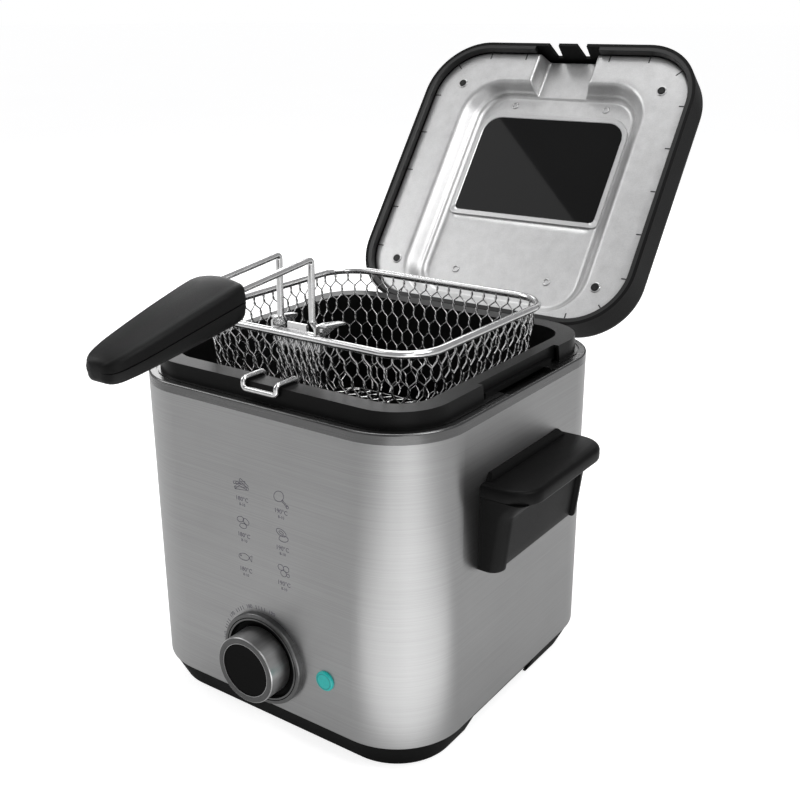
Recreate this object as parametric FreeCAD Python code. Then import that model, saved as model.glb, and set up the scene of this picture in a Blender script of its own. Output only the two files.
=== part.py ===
import FreeCAD, Part
import math
import os

# Compact deep fryer, in millimetres. +Z is up, the front (dial side) faces -Y and the
# origin is the centre of the casing's footprint on the surface that the fryer stands on.
# It is modelled with the lid open, the basket lifted and the basket handle swung out.

Vector = FreeCAD.Vector
UP = Vector(0, 0, 1)
TO_REAR = Vector(0, 1, 0)

# ---- driving dimensions -------------------------------------------------------------

# casing
CASE_HALF_X = 95.0
CASE_HALF_Y = 96.5
CASE_CORNER = 38.7
CASE_BOTTOM = 15.1
CASE_TOP = 176.7
CASE_WALL = 0.8
LIP_DEPTH = 7.0
LIP_WALL = 1.5

# base tray and feet
BASE_TOE_INSET = 7.3
BASE_WALL = 2.0
TRAY_FLOOR_BOTTOM = 11.5
TRAY_FLOOR_TOP = 13.5
SKIRT_CLEARANCE = 0.8
ARCH_FRONT_Y = -41.0
ARCH_REAR_Y = 25.0
FOOT_X = 70.0
FOOT_Y = 71.0
FOOT_RADIUS = 9.0
VENT_COUNT = 9
VENT_PITCH = 9.0

# top ring
RING_TOP = 181.9
RING_WIDTH = 9.0
SCOOP_FRONT_Y = -14.0
SCOOP_REAR_Y = 34.0

# oil bowl
RIM_TOP = 190.2
RIM_INSET = 7.6
RIM_SKIRT_INSET = 6.6
RIM_CORNER = 28.0
SKIRT_CORNER = 31.0
BOWL_MOUTH_X = 77.5
BOWL_MOUTH_Y = 78.0
BOWL_MOUTH_CORNER = 19.0
BOWL_TAPER = 3.0
BOWL_FLOOR = 82.0
BOWL_WALL = 1.2
RIM_PLATE = 1.5
GRIP_NOTCH_FRONT_Y = -30.0
GRIP_NOTCH_REAR_Y = 48.0
GRIP_NOTCH_X = 84.4

# heating
HEAT_PLATE_HALF = 62.0
HEAT_PLATE_THICKNESS = 6.0
ELEMENT_RADIUS = 48.0
ELEMENT_TUBE = 3.4
ELEMENT_GAP_DEG = 34.0
SHIELD_HALF = 68.0
SHIELD_BOTTOM = 58.0
SHIELD_RIM_TOP = 70.0
SHIELD_SHEET = 0.8
BULB_FRONT_Y = -30.0
CAPILLARY_DROP_Y = -37.0
POST_OFFSET = 51.0
POST_RADIUS = 4.0

# controls
DIAL_Z = 43.0
BEZEL_RADIUS = 25.5
BEZEL_BORE = 22.0
BEZEL_DEPTH = 3.6
KNOB_RADIUS = 18.2
KNOB_FACE_Y = -112.2
KNOB_BACK_Y = -98.6
CAP_RADIUS = 14.6
SHAFT_RADIUS = 3.0
RUNNING_GAP = 0.05
BUSHING_RADIUS = 4.6
LAMP_X = 39.8
LAMP_Z = 43.8
LENS_RADIUS = 5.3
BODY_FRONT_Y = -92.0
BODY_BACK_Y = -68.0
BRACKET_SHEET = 1.5
BUSHING_TIP_Y = -102.4
BLOCK_X = 8.0
BLOCK_Y = 50.0
BLOCK_PITCH = 12.0

# side handles
HANDLE_HALF_Y = 43.5
HANDLE_BOTTOM = 99.6
HANDLE_FOOT_DEPTH = 12.0
HANDLE_NECK_DEPTH = 15.5
HANDLE_NECK_Z = 128.0
HANDLE_HOLLOW = 3.0
HOLLOW_HALF_Y = 38.0
HOLLOW_HALF_Z = 30.0
HOLLOW_CORNER = 9.0
GRIP_REACH = 27.0
GRIP_TOP = 145.2
GRIP_THICKNESS = 7.6
GRIP_CORNER = 15.0
UPSTAND_TOP = 148.8
HANDLE_SCREW_Y = 30.0
HANDLE_SCREW_Z = 118.0

# cord inlet
INLET_X = -38.0
INLET_Z = 32.0
INLET_NECK = 6.5

# hinge
HINGE_Y = 99.0
HINGE_Z = 183.0
LID_OPEN_DEG = 126.5
LUG_RADIUS = 4.2
LUG_CLEARANCE = 5.0
PIN_RADIUS = 2.0
KNUCKLE_INNER_X = 35.0
KNUCKLE_OUTER_X = 55.0
LUG_INNER_X = 28.0
LUG_OUTER_X = 62.0
SIDE_GAP = 0.4
MOUNT_SCREW_X = 18.0
MOUNT_SCREW_Z = 167.0

# lid, described closed and swung open at the end
LIP_Z = 185.6
LID_HALF_X = 95.4
LID_HALF_Y = 95.65
LID_CORNER = 38.7
LID_HEIGHT = 25.6
LID_WALL = 2.0
LID_EDGE = 8.0
PANEL_Z = 190.5
PANEL_SHEET = 0.8
PANEL_INSET = 4.2
DISH_MOUTH_X = 64.5
DISH_MOUTH_Y = 79.0
DISH_MOUTH_CENTRE_Y = 8.7
DISH_MOUTH_CORNER = 26.0
DISH_FLOOR_X = 54.5
DISH_FLOOR_Y = 72.5
DISH_FLOOR_CENTRE_Y = 8.2
DISH_FLOOR_CORNER = 18.0
DISH_FLOOR_Z = 202.6
CHANNEL_MOUTH_X = 21.0
CHANNEL_FLOOR_X = 17.5
CHANNEL_FLOOR_Z = 201.4
WINDOW_CENTRE_Y = -13.3
WINDOW_HALF_X = 48.5
WINDOW_HALF_Y = 33.0
WINDOW_CORNER = 8.0
WINDOW_LAP = 4.0
FRAME_LAP = 5.0
FRAME_THICKNESS = 1.2
GASKET_THICKNESS = 0.8
GLASS_THICKNESS = 3.0
LID_SCREW_X = 71.5
LID_SCREW_FRONT_Y = -66.3
LID_SCREW_REAR_Y = 67.0
SLOT_DEPTH = 13.5
SLOT_MOUTH = 7.0
SLOT_TOP = 4.0
GASKET_Z = DISH_FLOOR_Z + PANEL_SHEET
GLASS_Z = GASKET_Z + GASKET_THICKNESS
COLLAR_Z = GLASS_Z + GLASS_THICKNESS
LID_TOP = LIP_Z + LID_HEIGHT
CEILING_Z = LID_TOP - LID_WALL - 0.5

# basket
RIM_WIRE = 2.0
BASKET_RIM_Z = 208.5
BASKET_HALF_X = 72.0
BASKET_FRONT_Y = -64.5
BASKET_REAR_Y = 68.0
BASKET_CORNER = 22.0
BASKET_BOTTOM_Z = 138.5
BASKET_BOTTOM_DRAFT = 7.0
BASKET_SHEET = 0.6
BASKET_CENTRE_Y = (BASKET_FRONT_Y + BASKET_REAR_Y) / 2
BASKET_HALF_Y = (BASKET_REAR_Y - BASKET_FRONT_Y) / 2

# basket handle
PIVOT_Y = -59.5
PIVOT_Z = 212.0
RISER_Y = -62.5
RISER_FOOT_Z = 217.0
WIRE_RADIUS = 1.7
WIRE_X = 10.0
EAR_X = 13.0
EAR_SHEET = 1.2
WIRE_TOP_Z = 247.2
WIRE_DROP = 5.0
GRIP_FRONT_Y = -112.5
GRIP_SCREW_Y = (-130.0, -166.0)
# sections of the grip: y, centre height, half height, half width, corner radius
GRIP_SECTIONS = (
    (GRIP_FRONT_Y, 238.4, 9.4, 15.4, 4.5),
    (-118.0, 237.5, 9.8, 16.0, 5.0),
    (-150.0, 230.6, 8.4, 14.4, 4.6),
    (-172.0, 225.6, 7.0, 12.4, 4.2),
    (-181.0, 223.4, 6.0, 10.2, 4.0),
    (-185.5, 222.4, 4.4, 6.6, 3.2),
)

# drain hook
HOOK_RADIUS = 1.4
HOOK_X = 10.5
HOOK_LEG_Y = -76.2
HOOK_LOOP_Y = -91.0
HOOK_BOTTOM_Z = 186.8


# ---- geometry helpers ---------------------------------------------------------------

def outline(half_x, half_y, corner, z, centre_y=0.0):
    """Rounded rectangle as a closed wire at height z."""
    flat_x = half_x - corner
    flat_y = half_y - corner
    diagonal = corner * math.sqrt(0.5)
    edges = []
    for quarter in range(4):
        turn = math.radians(90 * quarter)
        corner_x = flat_x if quarter in (0, 3) else -flat_x
        corner_y = flat_y if quarter in (0, 1) else -flat_y
        start = Vector(corner_x + corner * math.cos(turn), corner_y + corner * math.sin(turn), 0)
        middle = Vector(
            corner_x + diagonal * (math.cos(turn) - math.sin(turn)),
            corner_y + diagonal * (math.sin(turn) + math.cos(turn)),
            0,
        )
        end = Vector(corner_x - corner * math.sin(turn), corner_y + corner * math.cos(turn), 0)
        edges.append((start, middle, end))
    pieces = []
    for quarter in range(4):
        start, middle, end = edges[quarter]
        following = edges[(quarter + 1) % 4][0]
        pieces.append(Part.Arc(start, middle, end).toShape())
        pieces.append(Part.LineSegment(end, following).toShape())
    wire = Part.Wire(pieces)
    wire.translate(Vector(0, centre_y, z))
    return wire


def prism(half_x, half_y, corner, low, high, centre_y=0.0):
    face = Part.Face(outline(half_x, half_y, corner, low, centre_y))
    return face.extrude(Vector(0, 0, high - low))


def loft(*wires):
    return Part.makeLoft(list(wires), True, True)


def case_prism(inset, low, high):
    """Prism that follows the casing's outline, pulled in by inset."""
    return prism(CASE_HALF_X - inset, CASE_HALF_Y - inset, CASE_CORNER - inset, low, high)


def box(x0, x1, y0, y1, z0, z1):
    return Part.makeBox(x1 - x0, y1 - y0, z1 - z0, Vector(x0, y0, z0))


def rod(radius, start, end):
    """Solid cylinder between two points."""
    axis = end - start
    return Part.makeCylinder(radius, axis.Length, start, axis)


def y_rod(radius, x, z, y0, y1):
    return rod(radius, Vector(x, y0, z), Vector(x, y1, z))


def z_rod(radius, x, y, z0, z1):
    return rod(radius, Vector(x, y, z0), Vector(x, y, z1))


def x_rod(radius, y, z, x0, x1):
    return rod(radius, Vector(x0, y, z), Vector(x1, y, z))


def slab_along_x(profile, x0, x1):
    """Extrude a closed (y, z) profile from x0 to x1."""
    points = [Vector(x0, y, z) for y, z in profile]
    face = Part.Face(Part.makePolygon(points + points[:1]))
    return face.extrude(Vector(x1 - x0, 0, 0))


def slab_along_y(profile, y0, y1):
    """Extrude a closed (x, z) profile from y0 to y1."""
    points = [Vector(x, y0, z) for x, z in profile]
    face = Part.Face(Part.makePolygon(points + points[:1]))
    return face.extrude(Vector(0, y1 - y0, 0))


def bent_wire(points, radius, bend):
    """Round wire through points, with each corner turned on a tangent arc."""
    points = [Vector(*point) for point in points]
    pieces = []
    last = points[0]
    for before, corner, after in zip(points, points[1:], points[2:]):
        back = (before - corner).normalize()
        ahead = (after - corner).normalize()
        half_angle = back.getAngle(ahead) / 2
        setback = bend / math.tan(half_angle)
        bisector = (back + ahead).normalize()
        centre = corner + bisector * (bend / math.sin(half_angle))
        start = corner + back * setback
        end = corner + ahead * setback
        pieces.append(Part.LineSegment(last, start).toShape())
        pieces.append(Part.Arc(start, centre - bisector * bend, end).toShape())
        last = end
    pieces.append(Part.LineSegment(last, points[-1]).toShape())
    path = Part.Wire(pieces)
    heading = points[1] - points[0]
    section = Part.Wire(Part.Circle(points[0], heading, radius).toShape())
    return path.makePipeShell([section], True, True)


def group(solids):
    """Several separate solids kept in one node."""
    return Part.Compound(list(solids))


def mirrored(shape):
    """The same shape on the other side of the fryer."""
    return shape.mirror(Vector(0, 0, 0), Vector(1, 0, 0))


def round_edges(shape, radius, wanted):
    """Round the edges whose middle point satisfies wanted(point)."""
    chosen = []
    for edge in shape.Edges:
        middle = edge.valueAt((edge.FirstParameter + edge.LastParameter) / 2)
        if wanted(middle):
            chosen.append(edge)
    return shape.makeFillet(radius, chosen)


def swing_open(shape):
    """Turn a closed-lid shape about the hinge to the open stop."""
    turned = shape.copy()
    turned.rotate(Vector(0, HINGE_Y, HINGE_Z), Vector(1, 0, 0), -LID_OPEN_DEG)
    return turned


def corners(offset_x, offset_y):
    for side in (-1, 1):
        for end in (-1, 1):
            yield side * offset_x, end * offset_y


# ---- casing, base and ring ----------------------------------------------------------

def outer_casing():
    shell = case_prism(0, CASE_BOTTOM, CASE_TOP)
    shell = shell.cut(case_prism(CASE_WALL, CASE_BOTTOM - 1, CASE_TOP + 1))
    front = -CASE_HALF_Y
    holes = [
        y_rod(BUSHING_RADIUS + 0.2, 0, DIAL_Z, front - 2, front + 4),
        y_rod(LENS_RADIUS - 0.3, LAMP_X, LAMP_Z, front - 2, front + 4),
        y_rod(INLET_NECK, INLET_X, INLET_Z, CASE_HALF_Y - 4, CASE_HALF_Y + 2),
    ]
    for side in (-1, 1):
        for end in (-1, 1):
            holes.append(x_rod(
                2.0, end * HANDLE_SCREW_Y, HANDLE_SCREW_Z,
                side * (CASE_HALF_X - 4), side * (CASE_HALF_X + 2),
            ))
        holes.append(y_rod(1.6, side * MOUNT_SCREW_X, MOUNT_SCREW_Z, CASE_HALF_Y - 4, CASE_HALF_Y + 2))
    for hole in holes:
        shell = shell.cut(hole)
    return shell


def base_tray():
    toe = outline(
        CASE_HALF_X - BASE_TOE_INSET, CASE_HALF_Y - BASE_TOE_INSET,
        CASE_CORNER - BASE_TOE_INSET, SKIRT_CLEARANCE,
    )
    shoulder = outline(CASE_HALF_X - 0.3, CASE_HALF_Y - 0.3, CASE_CORNER - 0.3, CASE_BOTTOM)
    body = loft(toe, shoulder)
    inner_toe = outline(
        CASE_HALF_X - BASE_TOE_INSET - BASE_WALL, CASE_HALF_Y - BASE_TOE_INSET - BASE_WALL,
        CASE_CORNER - BASE_TOE_INSET - BASE_WALL, SKIRT_CLEARANCE - 0.5,
    )
    inner_top = outline(
        CASE_HALF_X - BASE_WALL - 2.4, CASE_HALF_Y - BASE_WALL - 2.4,
        CASE_CORNER - BASE_WALL - 2.4, TRAY_FLOOR_BOTTOM,
    )
    body = body.cut(loft(inner_toe, inner_top))
    body = body.cut(case_prism(BASE_WALL + 0.4, TRAY_FLOOR_TOP, CASE_BOTTOM + 1))
    lip = case_prism(CASE_WALL + 0.1, CASE_BOTTOM - 1.2, CASE_BOTTOM + LIP_DEPTH)
    lip = lip.cut(case_prism(CASE_WALL + 0.1 + LIP_WALL, CASE_BOTTOM - 2, CASE_BOTTOM + LIP_DEPTH + 1))
    body = body.fuse(lip)
    arch_top = TRAY_FLOOR_BOTTOM + 0.2
    side_arch = box(-120, 120, ARCH_FRONT_Y, ARCH_REAR_Y, -1, arch_top)
    rear_arch = box(-40, 40, 60, 120, -1, arch_top)
    ceiling = case_prism(BASE_WALL + 0.4, TRAY_FLOOR_BOTTOM, arch_top + 1)
    body = body.cut(side_arch.cut(ceiling)).cut(rear_arch.cut(ceiling))
    for x, y in corners(FOOT_X, FOOT_Y):
        body = body.fuse(z_rod(FOOT_RADIUS - 2, x, y, 3.0, TRAY_FLOOR_BOTTOM + 0.5))
    for x, y in corners(POST_OFFSET, POST_OFFSET):
        body = body.cut(z_rod(1.7, x, y, 5, 20))
    first = -(VENT_COUNT - 1) / 2 * VENT_PITCH
    for index in range(VENT_COUNT):
        x = first + index * VENT_PITCH
        body = body.cut(box(x - 1.5, x + 1.5, -22, 22, TRAY_FLOOR_BOTTOM - 1, TRAY_FLOOR_TOP + 1))
    return body.removeSplitter()


def foot_pad(x, y):
    pad = z_rod(FOOT_RADIUS, x, y, 0, 3.0)
    return round_edges(pad, 1.0, lambda point: point.z < 0.1)


def base_screw(x, y):
    head = z_rod(3.2, x, y, TRAY_FLOOR_BOTTOM - 1.8, TRAY_FLOOR_BOTTOM)
    return head.fuse(z_rod(1.5, x, y, TRAY_FLOOR_BOTTOM - 0.1, TRAY_FLOOR_TOP + 12))


def top_ring():
    band = case_prism(0, CASE_TOP, RING_TOP)
    band = round_edges(band, 1.0, lambda point: point.z > RING_TOP - 0.1)
    lip = case_prism(CASE_WALL + 0.05, CASE_TOP - LIP_DEPTH, CASE_TOP + 1)
    ring = band.fuse(lip)
    ring = ring.cut(case_prism(CASE_WALL + 0.05 + LIP_WALL, CASE_TOP - LIP_DEPTH - 1, CASE_TOP - 0.2))
    ring = ring.cut(case_prism(RING_WIDTH, CASE_TOP - 1, RING_TOP + 1))
    groove = case_prism(3.9, RING_TOP - 0.6, RING_TOP + 1).cut(case_prism(4.8, RING_TOP - 1, RING_TOP + 2))
    ring = ring.cut(groove)
    for side in (-1, 1):
        inner = side * (CASE_HALF_X - RING_WIDTH)
        outer = side * (CASE_HALF_X - 1.4)
        low, high = sorted((inner, outer))
        ring = ring.cut(box(low, high, SCOOP_FRONT_Y, SCOOP_REAR_Y, RING_TOP - 2.4, RING_TOP + 1))
        knuckle = sorted((side * (KNUCKLE_INNER_X - SIDE_GAP), side * (KNUCKLE_OUTER_X + SIDE_GAP)))
        ring = ring.cut(x_rod(LUG_CLEARANCE, HINGE_Y, HINGE_Z, *knuckle))
    return ring.removeSplitter()


# ---- bowl and heating ---------------------------------------------------------------

def bowl_walls(grow, low):
    """Tapered block that fills the bowl from height low up to the mouth."""
    share = (RIM_TOP - low) / (RIM_TOP - BOWL_FLOOR)
    shrink = BOWL_TAPER * share
    top = outline(BOWL_MOUTH_X + grow, BOWL_MOUTH_Y + grow, BOWL_MOUTH_CORNER + grow, RIM_TOP)
    bottom = outline(
        BOWL_MOUTH_X + grow - shrink, BOWL_MOUTH_Y + grow - shrink,
        BOWL_MOUTH_CORNER + grow - shrink, low,
    )
    return loft(bottom, top)


def bowl_skirt(inset):
    bottom = outline(
        CASE_HALF_X - RIM_SKIRT_INSET - inset, CASE_HALF_Y - RIM_SKIRT_INSET - inset,
        SKIRT_CORNER - inset, RING_TOP,
    )
    top = outline(
        CASE_HALF_X - RIM_INSET - inset, CASE_HALF_Y - RIM_INSET - inset,
        RIM_CORNER - inset, RIM_TOP,
    )
    return loft(bottom, top)


def oil_bowl():
    outer = bowl_walls(BOWL_WALL, BOWL_FLOOR - BOWL_WALL)
    outer = round_edges(outer, 8.0, lambda point: point.z < BOWL_FLOOR)
    rim = bowl_skirt(0).cut(box(-200, 200, -200, 200, 0, RIM_TOP - RIM_PLATE).common(bowl_skirt(1.5)))
    bowl = outer.fuse(rim)
    cavity = bowl_walls(0, BOWL_FLOOR)
    cavity = round_edges(cavity, 7.0, lambda point: point.z < BOWL_FLOOR + 0.1)
    bowl = bowl.cut(cavity)
    for side in (-1, 1):
        low, high = sorted((side * GRIP_NOTCH_X, side * CASE_HALF_X))
        bowl = bowl.cut(box(low, high, GRIP_NOTCH_FRONT_Y, GRIP_NOTCH_REAR_Y, RING_TOP - 1, RIM_TOP + 1))
        low, high = sorted((side * (GRIP_NOTCH_X - 1.5), side * GRIP_NOTCH_X))
        bowl = bowl.fuse(box(
            low, high, GRIP_NOTCH_FRONT_Y - 1.5, GRIP_NOTCH_REAR_Y + 1.5, RING_TOP, RIM_TOP,
        ))
        low, high = sorted((side * GRIP_NOTCH_X, side * (GRIP_NOTCH_X + 2.2)))
        bowl = bowl.fuse(box(
            low, high, GRIP_NOTCH_FRONT_Y + 4, GRIP_NOTCH_REAR_Y - 6, RING_TOP, RING_TOP + 2.6,
        ))
    return bowl.removeSplitter()


def heat_plate():
    top = BOWL_FLOOR - BOWL_WALL
    return prism(HEAT_PLATE_HALF, HEAT_PLATE_HALF, 16.0, top - HEAT_PLATE_THICKNESS, top)


def heating_element():
    plate_bottom = BOWL_FLOOR - BOWL_WALL - HEAT_PLATE_THICKNESS
    centre_z = plate_bottom - ELEMENT_TUBE + 1.0
    half_gap = ELEMENT_GAP_DEG / 2
    tube_end = Part.Circle(Vector(ELEMENT_RADIUS, 0, centre_z), TO_REAR, ELEMENT_TUBE).toShape()
    ring = Part.Face(Part.Wire(tube_end)).revolve(Vector(0, 0, 0), UP, 360 - ELEMENT_GAP_DEG)
    ring.rotate(Vector(0, 0, 0), UP, 90 + half_gap)
    for side in (-1, 1):
        angle = math.radians(90 + side * (half_gap + 3))
        x = ELEMENT_RADIUS * math.cos(angle)
        y = ELEMENT_RADIUS * math.sin(angle)
        ring = ring.fuse(z_rod(1.8, x, y, SHIELD_BOTTOM - 12, centre_z))
    return ring.cut(box(-90, 90, -90, 90, plate_bottom, plate_bottom + 9))


def heat_shield():
    bottom = outline(SHIELD_HALF - 4, SHIELD_HALF - 4, 18.0, SHIELD_BOTTOM)
    top = outline(SHIELD_HALF, SHIELD_HALF, 20.0, SHIELD_RIM_TOP)
    pan = loft(bottom, top)
    hollow_bottom = outline(
        SHIELD_HALF - 4 - SHIELD_SHEET, SHIELD_HALF - 4 - SHIELD_SHEET, 17.0, SHIELD_BOTTOM + SHIELD_SHEET,
    )
    hollow_top = outline(
        SHIELD_HALF - SHIELD_SHEET, SHIELD_HALF - SHIELD_SHEET, 19.0, SHIELD_RIM_TOP + 0.5,
    )
    pan = pan.cut(loft(hollow_bottom, hollow_top))
    half_gap = ELEMENT_GAP_DEG / 2
    for side in (-1, 1):
        angle = math.radians(90 + side * (half_gap + 3))
        x = ELEMENT_RADIUS * math.cos(angle)
        y = ELEMENT_RADIUS * math.sin(angle)
        pan = pan.cut(z_rod(4.0, x, y, SHIELD_BOTTOM - 2, SHIELD_BOTTOM + 4))
    return pan.cut(bulb_slot())


def bulb_slot():
    return box(-6, 6, -66, -20, SHIELD_BOTTOM - 2, SHIELD_BOTTOM + 4)


def shield_post(x, y):
    post = z_rod(POST_RADIUS, x, y, TRAY_FLOOR_TOP, SHIELD_BOTTOM)
    return post.cut(z_rod(1.5, x, y, TRAY_FLOOR_TOP - 1, TRAY_FLOOR_TOP + 14))


def plate_stud(x, y):
    return z_rod(3.0, x, y, SHIELD_BOTTOM + SHIELD_SHEET, BOWL_FLOOR - BOWL_WALL - HEAT_PLATE_THICKNESS)


# ---- controls -----------------------------------------------------------------------

def thermostat_body():
    body = box(-16, 16, BODY_FRONT_Y, BODY_BACK_Y, DIAL_Z - 11, DIAL_Z + 11)
    body = body.fuse(y_rod(BUSHING_RADIUS, 0, DIAL_Z, BODY_FRONT_Y + 0.5, BUSHING_TIP_Y))
    for side in (-1, 1):
        tab = box(side * 9 - 3, side * 9 + 3, BODY_BACK_Y, BODY_BACK_Y + 7, DIAL_Z - 0.4, DIAL_Z + 0.4)
        body = body.fuse(tab)
    return body.cut(y_rod(SHAFT_RADIUS + RUNNING_GAP, 0, DIAL_Z, BODY_FRONT_Y + 14, BUSHING_TIP_Y - 1))


def thermostat_bracket():
    face_y = -CASE_HALF_Y + CASE_WALL
    plate = box(-30, 30, face_y, face_y + BRACKET_SHEET, DIAL_Z - 20, DIAL_Z + 14)
    plate = plate.fuse(box(-30, 30, face_y, face_y + 14, DIAL_Z - 20, DIAL_Z - 20 + BRACKET_SHEET))
    return plate.cut(y_rod(BUSHING_RADIUS + 0.1, 0, DIAL_Z, face_y - 1, face_y + 4))


def thermostat_nut():
    front = -CASE_HALF_Y - 1.0
    points = []
    for step in range(7):
        angle = math.radians(60 * step)
        points.append(Vector(7.2 * math.cos(angle), front, DIAL_Z + 7.2 * math.sin(angle)))
    nut = Part.Face(Part.makePolygon(points)).extrude(Vector(0, -2.2, 0))
    return nut.cut(y_rod(BUSHING_RADIUS, 0, DIAL_Z, front + 1, front - 4))


def dial_bezel():
    front = -CASE_HALF_Y
    disc = y_rod(BEZEL_RADIUS, 0, DIAL_Z, front, front - BEZEL_DEPTH)
    disc = round_edges(disc, 0.8, lambda point: point.y < front - BEZEL_DEPTH + 0.1)
    disc = disc.cut(y_rod(BEZEL_BORE, 0, DIAL_Z, front - 1.0, front - BEZEL_DEPTH - 1))
    return disc.cut(y_rod(BUSHING_RADIUS + 0.1, 0, DIAL_Z, front + 1, front - 2))


def knob_sleeve():
    sleeve = y_rod(KNOB_RADIUS, 0, DIAL_Z, KNOB_BACK_Y, KNOB_FACE_Y)
    sleeve = round_edges(sleeve, 0.6, lambda point: point.y < KNOB_FACE_Y + 0.1)
    hollow = y_rod(KNOB_RADIUS - 1.8, 0, DIAL_Z, KNOB_BACK_Y + 1, KNOB_FACE_Y + 3.4)
    hub = y_rod(6.0, 0, DIAL_Z, BUSHING_TIP_Y - 0.5, KNOB_FACE_Y + 3.0)
    sleeve = sleeve.cut(hollow).fuse(hub)
    sleeve = sleeve.cut(y_rod(SHAFT_RADIUS, 0, DIAL_Z, KNOB_BACK_Y, KNOB_FACE_Y + 2.4))
    return sleeve.cut(y_rod(CAP_RADIUS, 0, DIAL_Z, KNOB_FACE_Y + 1.6, KNOB_FACE_Y - 1))


def knob_cap():
    return y_rod(CAP_RADIUS, 0, DIAL_Z, KNOB_FACE_Y + 1.6, KNOB_FACE_Y + 0.3)


def thermostat_shaft():
    return y_rod(SHAFT_RADIUS, 0, DIAL_Z, BODY_FRONT_Y + 12, KNOB_FACE_Y + 2.5)


def sensor_bulb():
    plate_bottom = BOWL_FLOOR - BOWL_WALL - HEAT_PLATE_THICKNESS
    return y_rod(2.4, 0, plate_bottom - 2.4, BULB_FRONT_Y, -4)


def capillary_tube():
    bulb_z = BOWL_FLOOR - BOWL_WALL - HEAT_PLATE_THICKNESS - 2.4
    points = [
        (0, BULB_FRONT_Y, bulb_z),
        (0, CAPILLARY_DROP_Y, bulb_z),
        (0, CAPILLARY_DROP_Y, DIAL_Z + 1),
        (0, BODY_BACK_Y, DIAL_Z + 1),
    ]
    return bent_wire(points, 0.8, 5.0)


def thermal_fuse():
    plate_bottom = BOWL_FLOOR - BOWL_WALL - HEAT_PLATE_THICKNESS
    can = x_rod(3.0, 18, plate_bottom - 3.6, -14, 6)
    clip = box(-7, -1, 14.2, 21.8, plate_bottom - 7.2, plate_bottom)
    clip = clip.cut(x_rod(3.0, 18, plate_bottom - 3.6, -20, 10))
    return group([can, clip])


def terminal_block():
    block = box(BLOCK_X, BLOCK_X + 3 * BLOCK_PITCH, BLOCK_Y, 66, TRAY_FLOOR_TOP, TRAY_FLOOR_TOP + 13)
    for index in range(3):
        x = BLOCK_X + BLOCK_PITCH * (index + 0.5)
        block = block.cut(z_rod(2.6, x, 58, TRAY_FLOOR_TOP + 8, TRAY_FLOOR_TOP + 14))
        block = block.cut(y_rod(1.7, x, TRAY_FLOOR_TOP + 5, 49, 67))
    return block


def internal_leads():
    lead_z = TRAY_FLOOR_TOP + 5
    pin_x = ELEMENT_RADIUS * math.sin(math.radians(ELEMENT_GAP_DEG / 2 + 3))
    pin_y = ELEMENT_RADIUS * math.cos(math.radians(ELEMENT_GAP_DEG / 2 + 3))
    pin_end = SHIELD_BOTTOM - 12
    near_x = BLOCK_X + BLOCK_PITCH * 0.5
    far_x = BLOCK_X + BLOCK_PITCH * 1.5
    to_element = [
        (near_x, BLOCK_Y, lead_z),
        (near_x, BLOCK_Y - 20, lead_z),
        (pin_x, BLOCK_Y - 20, pin_end - 9),
        (pin_x, pin_y, pin_end - 9),
        (pin_x, pin_y, pin_end - 0.05),
    ]
    to_thermostat = [
        (far_x, BLOCK_Y, lead_z),
        (far_x, 20, lead_z + 2),
        (far_x, -40, DIAL_Z - 16),
        (9, BODY_BACK_Y + 14, DIAL_Z),
        (9, BODY_BACK_Y + 7.1, DIAL_Z),
    ]
    from_thermostat = [
        (-9, BODY_BACK_Y + 7.1, DIAL_Z),
        (-9, BODY_BACK_Y + 16, DIAL_Z),
        (-24, -10, DIAL_Z - 10),
        (-pin_x, pin_y, pin_end - 9),
        (-pin_x, pin_y, pin_end - 0.05),
    ]
    routes = (to_element, to_thermostat, from_thermostat)
    return group(bent_wire(route, 1.4, 4.0) for route in routes)


def indicator_lens():
    front = -CASE_HALF_Y
    face = y_rod(LENS_RADIUS, LAMP_X, LAMP_Z, front, front - 1.5)
    face = round_edges(face, 0.9, lambda point: point.y < front - 1.4)
    return face.fuse(y_rod(LENS_RADIUS - 0.4, LAMP_X, LAMP_Z, front - 0.1, front + 9))


def indicator_lamp():
    rear = -CASE_HALF_Y + 9
    bulb = y_rod(3.0, LAMP_X, LAMP_Z, rear, rear + 12)
    return bulb.fuse(y_rod(3.6, LAMP_X, LAMP_Z, rear + 8, rear + 12))


# ---- side handles, inlet and hinge mount --------------------------------------------

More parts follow.
